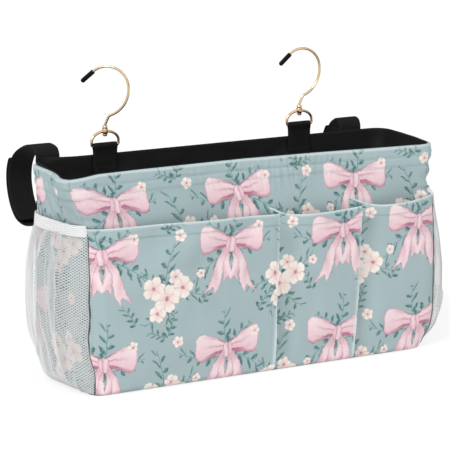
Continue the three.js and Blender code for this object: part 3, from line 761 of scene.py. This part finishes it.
def sewn(name, lines, material):
    """Rows of stitches along lines, each given as points and the cloth's normals there."""
    stitches = []
    for points, up in lines:
        run = distances(points)
        count = max(1, round(run[-1] / stitch_pitch))
        first = np.linspace(0, run[-1], count + 1)[:-1] + stitch_gap / 2
        last = first + run[-1] / count - stitch_gap
        middle = (first + last) / 2
        stitches.append((picked(points, run, first), picked(points, run, last), picked(up, run, middle)))
    return add_object(name, spindles(name, *map(np.concatenate, zip(*stitches)), thread_radius), material)


def outward_at(s):
    facing = np.interp(np.asarray(s) % around_bag, marks, facings)
    return np.stack([np.sin(facing), -np.cos(facing), 0 * facing], -1)


teal_thread = plain_material("teal_thread", (150, 176, 182), 0.7)
casing_s = np.linspace(0, around_bag, 900)
casing_lines = []
for row in casing_rows:
    z = rim_height(casing_s) - row
    casing_lines.append((wall(casing_s, z, swell(casing_s, z)), outward_at(casing_s)))
belongs(sewn("casing_stitches", casing_lines, teal_thread), "bag", "print_cloth")

# The front pockets
# Three pouches of the same cloth with a turned top hem. They're sewn down at the ends, along the bottom and
# at two seams, where each pouch folds over the next one in a narrow pleat.
pocket_height = 0.152
first_seam, second_seam = 0.008, 0.101
pocket_hem = 0.011  # height of the turned hem
pocket_bow = 0.011  # how far a pouch's mouth stands out in its middle
pocket_lap = 0.0034  # how far a pouch's folded edge stands off the next one
pocket_step = 0.0012  # between the points of a pouch's mesh, across
pocket_start = 0.36  # of the rolled bottom edge, where the pouches' seam is
pocket_cloth = printed_cloth("pocket_print", (84, 30))
# In millimetres: each top edge as places and heights, and the folded edge's way on round and off the wall
pocket_tops = {
    "left": ((-188, 153.5), (-151, 154.0), (-100, 153.5), (-43, 151.8), (-8, 150.2), (14, 149.8)),
    "middle": (
        (5, 156.5), (11, 153), (17, 150), (27, 148.4), (55, 148), (85, 147.8), (100, 148.8), (111, 150.5),
    ),
    "right": (
        (97, 157.5), (106, 153.4), (114, 150.2), (127, 148.6), (143, 148.3), (166, 149), (180, 150.5),
        (191, 152),
    ),
}
folded_edge = (
    (0.6, 0.3), (1.3, 0.2), (1.8, -0.4), (1.9, -1.3), (1.5, -2.2), (0.9, -2.9), (0.1, -3.3), (-0.8, -3.6),
)
# What pleats before it take up of the strip, and how far its right seam leans at the floor and the mouth
taken_up = {"left": 0, "middle": 0.005, "right": 0.046}
seam_leans = {"left": (0.0012, 0.0066), "middle": (0.0006, 0.0094), "right": (0, 0)}


def pouch(z, top):
    """How far open a pouch is, from 0 at its bottom seam to 1 at its mouth."""
    return np.sin(np.clip(z / top, 0, 1) * math.pi / 2) ** 0.7


def pocket_out(s, z, top, first, last, seed):
    """How far a pouch stands off the front panel."""
    share = np.clip((s - first) / (last - first), 0, 1)
    across = np.sin(share * math.pi) ** 0.8
    crumple = waves(s, z, 0.06, seed) * 0.0013 + waves(s, z * 0.3, 0.03, seed + 1, 5) * 0.0005
    pulls = np.sin((s - first) * 700 + z * 60) * ridge(s - first, 0.013) * np.sin(z / top * math.pi) ** 0.5
    above = z - top + pocket_hem
    hem = 0.0004 * (smooth((above + 0.0005) / 0.001) - ridge(above, 0.0008))
    return 0.0016 + across * (pocket_bow + crumple) * pouch(z, top) + 0.0005 * pulls + hem


def front_pocket(side, first, last, seed, folds_over):
    """One pouch between two seams, its right edge folded over the next one. Gives its hem's sewing line."""
    s = np.linspace(first, last, round((last - first) / pocket_step))
    kernel = np.hanning(13)
    tops = np.interp(s, *np.transpose(pocket_tops[side]) / 1000)
    tops = np.convolve(np.pad(tops, 6, "edge"), kernel / kernel.sum(), "valid")
    z, v = up_the_wall(s, tops, pocket_start)
    out = pocket_out(s, z, tops, first, last, seed)
    s = np.broadcast_to(s, z.shape)
    u = s + taken_up[side]
    share = (s - first) / (last - first)
    at_floor, at_mouth = seam_leans[side]
    s = s + (at_floor + (at_mouth - at_floor) * z / tops) * smooth(share * 1.6 - 0.6)
    if folds_over:
        out = out + pocket_lap * smooth(share * 5 - 4) * pouch(z, tops)
        grown = 0.3 + 0.7 * (z[:, -1:] / pocket_height)
        round_it, off_it = np.transpose(folded_edge) / 1000
        s = np.concatenate([s, s[:, -1:] + round_it * grown], 1)
        out = np.concatenate([out, out[:, -1:] + off_it * grown], 1)
        u = np.concatenate([u, u[:, -1:] + np.arange(1, 9) * 0.001], 1)
        z, v = (np.pad(heights, ((0, 0), (0, 8)), "edge") for heights in (z, v))
    # Painted highlight along the pouch's mouth and on the crest of its folded edge, carried by the fold
    # attribute.
    fold = 1.1 * ridge(z - z[-1:], 0.0013)
    if folds_over:
        fold[:, -12:-6] = np.maximum(fold[:, -12:-6], (0.2, 0.5, 0.9, 1.0, 1.0, 0.8))
    # Painted shade on the next pouch beside the seam, where the fold lapped over it casts its shadow.
    if side != "left":
        leans = seam_leans["left" if side == "middle" else "middle"]
        beside = smooth((s - first - 0.004 - np.interp(z, (0, 0.150), leans)) / 0.022)
        fold = fold - (1 - beside) * smooth((z[-1:] - z) / 0.020) * (0.75 + 0.25 * waves(s, z, 0.05, 41))
    name = "front_pocket_" + side
    piece = add_object(name + "_cloth", cloth(name, wall(s, z, out), grid(u, v), fold=fold), pocket_cloth)
    belongs(piece, "bag", "print_cloth", name)
    row = -1 - round(pocket_hem / mesh_step)
    inner = slice(2, -9 if folds_over else -2)
    return wall(s[row, inner], z[row, inner], out[row, inner]), outward_at(s[row, inner])


pocket_lines = [
    front_pocket("left", -front_edge + 0.0004, first_seam, 21, True),
    front_pocket("middle", first_seam - 0.004, second_seam, 24, True),
    front_pocket("right", second_seam - 0.004, front_edge - 0.0004, 27, False),
]
belongs(sewn("pocket_stitches", pocket_lines, teal_thread), "bag", "print_cloth")

# The net pockets
# A loose diamond net of white nylon thread, gathered into a wide white elastic at the top and sewn into the
# seams at both sides and along the bottom. Each thread is a real strand.
net_top = pocket_height - 0.005
net_rise, net_slope = 0.00255, 0.78  # from thread to thread up the net, and how steeply each one runs
net_step = 0.00085  # along each one
net_thread, binding_radius = 0.00037, 0.0009
net_white = plain_material("net_thread", (230, 230, 230), 0.5)
elastic_white = plain_material("white_elastic", (228, 228, 228), 0.7, grain=(0.0013, 0.00012))
# A dark cord that is partly the net's edge binding and partly painted shadow in the seam beside it.
binding_and_seam_shadow = plain_material("binding", (74, 86, 90), 0.8)
# Each net's belly: how far it stands out, how square it is across, and its reach by the share of its height
belly_heights = (0, 0.1, 0.25, 0.4, 0.55, 0.75, 0.9, 0.97, 1)
bellies = {
    "left": (0.015, 0.8, (0, 0.12, 0.45, 0.85, 1, 0.97, 0.72, 0.4, 0.1)),
    "right": (0.019, 0.5, (0, 0.4, 0.86, 1, 0.97, 0.56, 0.2, 0.08, 0.03)),
}
# Its pleats in millimetres: how far each stands out, its half width, and its path as pairs of a height and a
# distance from the front seam
net_pleats = (
    (3.2, 2.3, ((8, 24), (36, 28), (67, 26), (99, 23), (124, 25), (147, 38))),
    (1.8, 1.3, ((100, 23), (122, 24), (133, 29), (147, 42))),
    (1.6, 1.5, ((110, 60), (127, 52), (136, 48), (147, 47))),
    (1.6, 2.6, ((25, 78), (53, 61), (83, 55), (109, 53), (130, 62), (147, 66))),
    (2.2, 1.6, ((0, 16), (12, 15), (30, 12), (42, 10), (51, 6.5), (62, 0))),
    (1.2, 1.4, ((20, 44), (60, 40), (95, 38), (125, 41), (147, 53))),
)


def net_out(side, d, z):
    """How far a net stands off its end panel, so far from its front seam along the panel."""
    bulge, power, reaches = bellies[side]
    across = np.sin(np.clip(d / end_run, 0, 1) * math.pi) ** power
    out = across * bulge * np.interp(z / net_top, belly_heights, reaches)
    for stands, width, path in net_pleats:
        heights, places = np.array(path).T / 1000
        ends = smooth((z - heights[0]) / 0.008 + 0.3) * smooth((heights[-1] - z) / 0.014 + 0.25)
        out = out + stands / 1000 * ridge(d - np.interp(z, heights, places), width / 1000) * ends
    loose = smooth(z / 0.04) * smooth((net_top - z) / 0.02) * across
    return 0.0022 * smooth(z / 0.02) + out + 0.0007 * loose * np.sin(d * 410 + 1.3 * np.sin(z * 36))


def strands(name, lines, radius, flatness=1.0):
    """Tubes with four sides along lines, each given as points and normals."""
    points, faces, count = [], [], 0
    for line, up in lines:
        side = unit(np.cross(np.gradient(line, axis=0), up))
        spoke = np.stack([side, up * flatness, -side, -up * flatness], 1)
        points.append((line[:, None] + spoke * radius).reshape(-1, 3))
        number = count + np.arange(len(line) * 4).reshape(-1, 4)
        faces += [quads(number, True, True), number[:1], number[-1:, ::-1]]
        count += number.size
    return skin(name, np.concatenate(points), np.concatenate(faces))


def end_place(side, d):
    """The distance round the bag of a place so far from an end's front seam."""
    return front_edge + d if side == "right" else around_bag - front_edge - d


def net_pocket(side):
    lines = []
    low, high = 0.0010, net_top + 0.001
    for slope in (net_slope, -net_slope):
        first = low - max(slope, 0) * end_run
        for foot in np.arange(first, high - min(slope, 0) * end_run, net_rise):
            d = np.arange(0, end_run, net_step)
            z = foot + slope * d
            keep = (z > low) & (z < high)
            if keep.sum() < 3:
                continue
            d, z = d[keep], z[keep]
            pull = 0.0022 * smooth(z / 0.08) * np.sin(d * 260 + 0.7) + 0.0012 * np.sin(z * 55 + d * 80)
            d = np.clip(d + pull * np.sin(d / end_run * math.pi), 0.0002, end_run - 0.0002)
            s = end_place(side, d)
            lines.append((wall(s, z, net_out(side, d, z) + slope * 0.0002), outward_at(s)))
    net = add_object(side + "_net", strands(side + "_net", lines, net_thread, 0.8), net_white)
    belongs(net, "bag", "white_net", side + "_mesh_pocket")

    d = np.linspace(0, end_run, 150)
    z = np.linspace(net_top, band_top, 31)[:, None]
    rise = (z - net_top) / (band_top - net_top)
    across = np.sin(d / end_run * math.pi) ** 0.8
    ends = smooth(d / 0.010) * smooth((end_run - d) / 0.010)
    ribs = 0.00026 * np.cos(rise * 5 * 2 * math.pi)
    slack = 0.0006 * np.sin(d * 95 + 0.6) * across * (1 - rise)
    out = 0.0020 + 0.0014 * ends + 0.0012 * across + ribs + slack
    z = z - 0.0012 * across * (1 - rise) * ridge(d - 0.55 * end_run, 0.030)
    points, uv = wall(end_place(side, d), z, out), grid(d, z)
    if side == "left":
        points, uv = points[:, ::-1], uv[:, ::-1]
    band = add_object(side + "_elastic", cloth(side + "_elastic", points, uv, 0.0011), elastic_white)
    belongs(band, "bag", "white_elastic", side + "_mesh_band")


net_pocket("left")
net_pocket("right")

# Along each front seam a dark cord stands for the net's edge binding and for painted shadow in the seam.
binding_lines = []
for seam in (front_edge, around_bag - front_edge):
    z = np.linspace(0.0014, net_top + 0.002, 120)
    s = seam + 0.0003 * np.sin(z * 420)
    binding_lines.append((wall(s, z, 0.0014), outward_at(s)))
binding = strands("net_binding_and_seam_shadow", binding_lines, binding_radius)
belongs(add_object("net_binding_and_seam_shadow", binding, binding_and_seam_shadow), "bag", "print_cloth")

# The lining
# Thin black polyester, a wall strip and a floor. Its top edge is sewn to the hem.
black_cloth = plain_material("black_cloth", (19, 19, 20), 0.7, 0.2, grain=(0.0007, 0.00006))
s = np.linspace(0, around_bag, 620)[:-1]
backness = smooth((wall(s, 0.1)[:, 1] + 0.01) / 0.05)
bent_out = ridge(distance_round(s, corner_middles[2]), 0.024)
tops = rim_height(s) + 0.0004 + 0.0014 * backness + 0.0022 * bent_out
z = np.linspace(0.0042, 1, 78)[:, None] * tops
inward = -0.0036 - 0.0012 * np.abs(waves(s, z, 0.05, 31)) * smooth((rim - z) / 0.02)
inward = inward + 0.0034 * bent_out * smooth((z - rim) / 0.0014)
lining = cloth("lining", wall(s, z, inward), grid(s, z), 0.0008, wrap=True)
belongs(add_object("lining", lining, black_cloth), "bag", "black_lining", "lining_walls")
plate("lining_floor", "lining_base", 0.0048, black_cloth, "black_lining")

# The stiffeners and the rim elastic
# Hidden between the cloth and the lining. The back board keeps the CAD part's shape.
board_grey = plain_material("board", (150, 150, 146), 0.9)
plate("stiff_floor", "base_board", 0.0040, board_grey, "stiffener_board")
back_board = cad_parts["back_board"]
back_board.data.materials.clear()
back_board.data.materials.append(board_grey)
s = np.linspace(0, around_bag, 400)[:-1]
z = rim - 0.0015 - np.linspace(0.014, 0, 8)[:, None]
elastic = cloth("rim_elastic", wall(s, z, -0.0016), grid(s, z), 0.0014, wrap=True)
belongs(add_object("flat_rim_elastic", elastic, elastic_white), "bag", "white_elastic", "rim_elastic")

# The hanging tabs
# Black polypropylene webbing, folded over each ring's bar and sewn to the lining with a boxed cross.
webbing_black = plain_material("webbing", (15, 15, 16), 0.7, 0.22, grain=(0.0012, 0.00025))
black_thread = plain_material("black_thread", (30, 30, 32), 0.6)


def even_line(points, spacing):
    """A line through the points in even steps."""
    run = distances(points)
    return picked(points, run, np.linspace(0, run[-1], max(2, round(run[-1] / spacing) + 1)))


def left_normals(line):
    along = unit(np.gradient(line, axis=0))
    return np.stack([-along[:, 1], along[:, 0]], -1)


def arc_line(centre, radius, first, last, count):
    turn = np.radians(np.linspace(first, last, count))
    return np.asarray(centre) + np.stack([np.cos(turn), np.sin(turn)], -1) * radius


def webbing(name, x, line, width, thickness, material):
    """A strip of webbing across X, whose middle follows a line in the YZ plane. Its edges are round."""
    count = 23
    across = np.linspace(-1, 1, count)
    profile = thickness / 2 * np.sqrt(np.clip(1 - np.abs(across) ** 14, 0.02, 1))
    off = np.concatenate([profile, -profile])
    across = np.concatenate([across, across[::-1]]) * width / 2
    yz = line[:, None] + left_normals(line)[:, None] * off[:, None]
    points = grid(x + across, yz[..., 0], yz[..., 1]).reshape(-1, 3)
    number = np.arange(len(points)).reshape(-1, 2 * count)
    faces = [quads(number, wrap=True)]
    for row, flip in ((number[0], True), (number[-1], False)):
        faces.append(quads(np.stack([row[:count], row[:count - 1:-1]]), flip))
    uv = grid(across, distances(line)[:, None]).reshape(-1, 2)
    return add_object(name, skin(name, points, np.concatenate(faces), uv), material)


bar_y = 0.04885  # of the rings' straight bars, which the tabs are folded over
bar_heights = {"left": rim + 0.0102, "right": rim + 0.0132}
tab_cloth, tab_width = 0.0013, 0.025
ring_wire = 0.0026
fold_radius = ring_wire / 2 + 0.0003 + tab_cloth / 2
box_low, box_high, box_inset = 0.168, 0.190, 0.0025  # of the boxed cross
hangers = {side: sum(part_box(side + "_ring"), Vector()).x / 2 for side in ("left", "right")}
for side, x in hangers.items():
    bar_z = bar_heights[side]
    leg_z = [rim - 0.036, bar_z - 0.009, bar_z - 0.0045, bar_z - 0.0018]
    leg = np.stack([bar_y + np.array([0.0008, 0.0008, 0.0011, 0.0019]), leg_z], -1)
    over = arc_line((bar_y, bar_z), fold_radius, 0, 180, 14)
    line = even_line(np.concatenate([leg, over, (leg * [-1, 1] + [2 * bar_y, 0])[::-1]]), 0.0009)
    tab = webbing(side + "_tab", x, line, tab_width, tab_cloth, webbing_black)
    belongs(tab, "bag", "black_webbing", side + "_hook_tab")
    half = tab_width / 2 - box_inset
    corners = np.array([(-half, box_low), (half, box_low), (half, box_high), (-half, box_high)])
    front = bar_y - 0.0008 - tab_cloth / 2 + 0.0001
    cross = []
    for a, b in ((0, 1), (1, 2), (2, 3), (3, 0), (0, 2), (1, 3)):
        flat = corners[a] + (corners[b] - corners[a]) * np.linspace(0, 1, 12)[:, None]
        cross.append((grid(x + flat[:, 0], front, flat[:, 1]), np.tile([0.0, -1.0, 0.0], (12, 1))))
    belongs(sewn(side + "_tab_stitches", cross, black_thread), "bag", "black_webbing")

# The rings and hooks
# Pale gold plated steel wire. Each hook's shank passes through the boss at the top of its ring and turns
# there between a collar and its own peened end. A black rubber sleeve covers the free end.
gold = plain_material("gold", (226, 196, 156), 0.22, 0.5, 1.0)
rubber = plain_material("rubber", (5, 5, 5), 0.6, 0.12)
arch_top, arch_foot = 0.0132, 0.004  # from the bar's middle up to the arch's top and to where it starts
ring_reach, ring_corner = tab_width / 2 + 0.0019, 0.0016
boss_radius, boss_height = 0.0028, 0.005
bore_radius = 0.0015
hook_wire, hook_end = 0.0024, 0.0130  # the wire, and how far it runs straight to its free end
# Radius and height pairs, in millimetres from the boss's middle
collar = ((1.5, 2.8), (2.4, 2.8), (2.4, 4.3), (1.9, 5.2), (1.5, 5.2))
rivet = ((1.5, -4.6), (1.9, -4.6), (2.4, -3.7), (2.4, -2.8), (1.5, -2.8))
sleeve_radius, sleeve_length, sleeve_end = 0.0022, 0.0152, 0.0016
upright = np.array([0, 0, 1.0])


def tube(name, line, radius, square, material, sides=20):
    """A round wire with flat ends, along points in a plane that square stands square to."""
    spoke = spokes(unit(np.cross(np.gradient(line, axis=0), square)), square, sides)
    points = (line[:, None] + spoke * radius).reshape(-1, 3)
    number = np.arange(len(points)).reshape(-1, sides)
    faces = [quads(number, True, True)]
    for row, hub in ((number[0], len(points)), (number[-1][::-1], len(points) + 1)):
        faces.append(np.stack([row, np.roll(row, -1), np.full(sides, hub), np.full(sides, hub)], -1))
    mesh = skin(name, np.concatenate([points, line[[0, -1]]]), np.concatenate(faces))
    return add_object(name, mesh, material)


def turned_piece(name, profile, base, axis, material, across=(0.0, 1.0, 0.0), sides=28):
    """A closed turned piece from a profile of radius and height pairs, on an axis through base."""
    radii, heights = np.transpose(profile)[:, :, None, None]
    points = base + axis * heights + spokes(np.array(across), np.cross(axis, across), sides) * radii
    number = np.arange(len(profile) * sides).reshape(-1, sides)
    faces = quads(np.concatenate([number, number[:1]]), wrap=True)
    return add_object(name, skin(name, points.reshape(-1, 3), faces), material)


def rounded(outline, radius):
    """A closed profile with each corner cut to a small round of three points."""
    outline = np.asarray(outline, float)
    made = []
    for before, corner, after in zip(np.roll(outline, 1, 0), outline, np.roll(outline, -1, 0)):
        sides = np.array([before - corner, after - corner])
        a, b = corner + unit(sides) * min(radius, *np.linalg.norm(sides, axis=1) * 0.45)
        made += [a, (a + b) / 4 + corner / 2, b]
    return made


def heading_of(degrees):
    return np.array([math.cos(math.radians(degrees)), math.sin(math.radians(degrees))])


def hook_line():
    """The hook's wire in its own plane, from the boss's middle, with its last bend's end and heading."""
    crown_middle = np.array([0.0026, 0.0406])
    lower_bend = arc_line(crown_middle - 0.006 * heading_of(10), 0.026, -74, 10, 40)
    crown = arc_line(crown_middle, 0.020, 10, 131, 54)[1:]
    kink = lower_bend[0]
    shank_top = np.array([0, 0.0055])
    lean = kink - shank_top
    lean = shank_top + lean * (1 - 0.0025 / np.linalg.norm(lean))
    share = np.linspace(0, 1, 9)[:, None]
    bend = (1 - share) ** 2 * lean + 2 * share * (1 - share) * kink + share ** 2 * lower_bend[3]
    heading = heading_of(221)
    shank = [(0, -0.0046), (0, 0.003), shank_top]
    line = np.concatenate([shank, bend, lower_bend[4:], crown, [crown[-1] + heading * hook_end]])
    return line, crown[-1], heading


for side, x in hangers.items():
    bar_middle = np.array([x, bar_y, bar_heights[side]])
    corner_place = ring_reach - ring_corner
    flat = np.concatenate([
        arc_line((corner_place, ring_corner), ring_corner, -90, 0, 6),
        arc_line((0, arch_foot), (ring_reach, arch_top - arch_foot), 0, 180, 49)[1:-1],
        arc_line((-corner_place, ring_corner), ring_corner, 180, 270, 6),
        grid(np.linspace(-corner_place, corner_place, 12)[1:-1], 0),
    ])
    flat = flat[np.abs(flat[:, 0]) + 10 * (flat[:, 1] < 0.01) > boss_radius * 0.8]  # open where the boss is
    start = int(np.argmax(np.diff(flat[:, 0], append=flat[0, 0]) < -0.003))
    flat = np.roll(flat, -start - 1, 0)
    line = bar_middle + grid(flat[:, 0], 0, flat[:, 1])
    ring = tube(side + "_d_ring", line, ring_wire / 2, np.array([0.0, 1.0, 0.0]), gold)
    belongs(ring, "ring_" + side, "gold_wire", side + "_ring")
    boss_middle = bar_middle + arch_top * upright
    top = boss_height / 2
    outline = [(bore_radius, -top), (boss_radius, -top), (boss_radius, top), (bore_radius, top)]
    boss = turned_piece(side + "_boss", rounded(outline, 0.0006), boss_middle, upright, gold)
    belongs(boss, "ring_" + side, "gold_wire")

    rest_turn = math.radians({"left": -42, "right": -4}[side])
    plane = np.array([math.cos(rest_turn), math.sin(rest_turn), 0])
    square = np.array([-math.sin(rest_turn), math.cos(rest_turn), 0])
    flat, bend_end, heading = hook_line()
    line = boss_middle + flat[:, :1] * plane + flat[:, 1:] * upright
    wire = tube(side + "_hook_wire", line, hook_wire / 2, square, gold)
    belongs(wire, "hook_" + side, "gold_wire", side + "_hook")
    for part, outline in (("_swivel_collar", collar), ("_swivel_rivet", rivet)):
        outline = rounded(np.array(outline) / 1000, 0.0004)
        piece = turned_piece(side + part + "_turned", outline, boss_middle, upright, gold)
        belongs(piece, "hook_" + side, "gold_wire", side + part)
    dome = arc_line((0, sleeve_length - sleeve_radius), sleeve_radius, 0, 90, 9)[:-1]
    sleeve = [(bore_radius, 0), (sleeve_radius - 0.0002, 0), (sleeve_radius, 0.0003), *dome]
    bore_end = sleeve_length - sleeve_end
    sleeve += [(1e-6, sleeve_length), (1e-6, bore_end), (bore_radius, bore_end)]
    base = boss_middle + bend_end[0] * plane + bend_end[1] * upright
    along = heading[0] * plane + heading[1] * upright
    tip = turned_piece(side + "_sleeve", sleeve, base, along, rubber, square, 24)
    belongs(tip, "hook_" + side, "black_rubber", side + "_hook_tip")

# The straps
# Black webbing behind the back panel. An upper strap is sewn on over the rim and a lower one below it, and
# touch tape holds their ends together in a loop.
strap_width, strap_cloth, tape_cloth, gap = 0.025, 0.0015, 0.0008, 0.0003
tape_step = strap_cloth / 2 + gap + tape_cloth / 2
tape_pitch = tape_cloth + gap
upper_inset = 2 * tape_step + tape_pitch
strap_root = gap + strap_cloth / 2
loop_height = 0.080
loop_bottom = rim + 0.0165 - loop_height
hinge_z = loop_bottom + 0.08 * loop_height
# For each loop its reach behind the panel, the shares along it where the upper strap starts, the lower one
# ends and the tapes start and end, and its points as shares of its reach and height
strap_loops = {
    "left": (0.060, (0.15, 0.515, 0.18, 0.5), (
        (0.23, 0.018), (0.483, 0), (0.727, 0.062), (0.903, 0.22), (0.993, 0.438), (0.97, 0.644),
        (0.833, 0.813), (0.6, 0.929), (0.308, 1), (0.058, 0.97), (-0.043, 0.875),
    )),
    "right": (0.046, (0.14, 0.61, 0.175, 0.595), (
        (0.326, 0.003), (0.674, 0.019), (0.935, 0.138), (1, 0.3), (0.946, 0.469), (0.745, 0.65),
        (0.58, 0.82), (0.43, 0.935), (0.2, 1), (0.022, 0.963), (-0.057, 0.875),
    )),
}


def spline(points, count=4000):
    """A smooth line through points in even steps."""
    points = np.asarray(points, float)
    share = np.linspace(0, len(points) - 1, count)
    whole = np.minimum(share.astype(int), len(points) - 2)
    part = (share - whole)[:, None]
    p0, p1 = points[np.maximum(whole - 1, 0)], points[whole]
    p2, p3 = points[whole + 1], points[np.minimum(whole + 2, len(points) - 1)]
    t1, t2 = (p2 - p0) / 2, (p3 - p1) / 2
    line = (2 * p1 - 2 * p2 + t1 + t2) * part ** 3 + (3 * p2 - 3 * p1 - 2 * t1 - t2) * part ** 2
    return even_line(line + t1 * part + p1, 0.0004)


def loop_line(reach, shares):
    """The line of a strap's loop in the YZ plane, from its sewn root up and back over the rim."""
    wall_side = half_depth + strap_root - upper_inset
    points = [(half_depth + strap_root, hinge_z)]
    points += [(half_depth + out * reach, loop_bottom + up * loop_height) for out, up in shares]
    return spline(points + [(wall_side, rim - drop) for drop in (0, 0.012, 0.024)])


def stretch(loop, first, last, inset):
    """A part of a loop's line between two shares of its length, moved in so far."""
    at = slice(round(first * (len(loop) - 1)), round(last * (len(loop) - 1)) + 1)
    return even_line(loop[at] + left_normals(loop)[at] * inset, 0.0012)


tape_black = plain_material("touch_tape", (17, 17, 18), 0.95, 0.15, grain=(0.0009, 0.0003))
for side, (reach, (upper_start, lower_end, tape_start, tape_end), shares) in strap_loops.items():
    x = sum(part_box(side + "_strap_lower"), Vector()).x / 2
    body = "strap_" + side
    loop = loop_line(reach, shares)
    foot = [(half_depth + strap_root, z) for z in np.linspace(hinge_z + 0.020, hinge_z + 0.0012, 8)]
    lower_line = even_line(np.concatenate([foot, stretch(loop, 0.004, lower_end, 0)]), 0.0012)
    lower = webbing(side + "_lower_webbing", x, lower_line, strap_width, strap_cloth, webbing_black)
    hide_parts(side + "_strap_lower")
    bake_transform(lower)
    upper_line = stretch(loop, upper_start, 1, upper_inset)
    upper = webbing(side + "_upper_webbing", x, upper_line, strap_width, strap_cloth, webbing_black)
    belongs(upper, "bag", "black_webbing", side + "_strap_upper")
    for part, inset, rides in (("hook", tape_step, body), ("loop", tape_step + tape_pitch, "bag")):
        line = stretch(loop, tape_start, tape_end, inset)
        tape = webbing(side + "_" + part + "_side", x, line, strap_width, tape_cloth, tape_black)
        belongs(tape, rides, "touch_tape", side + "_" + part + "_tape")
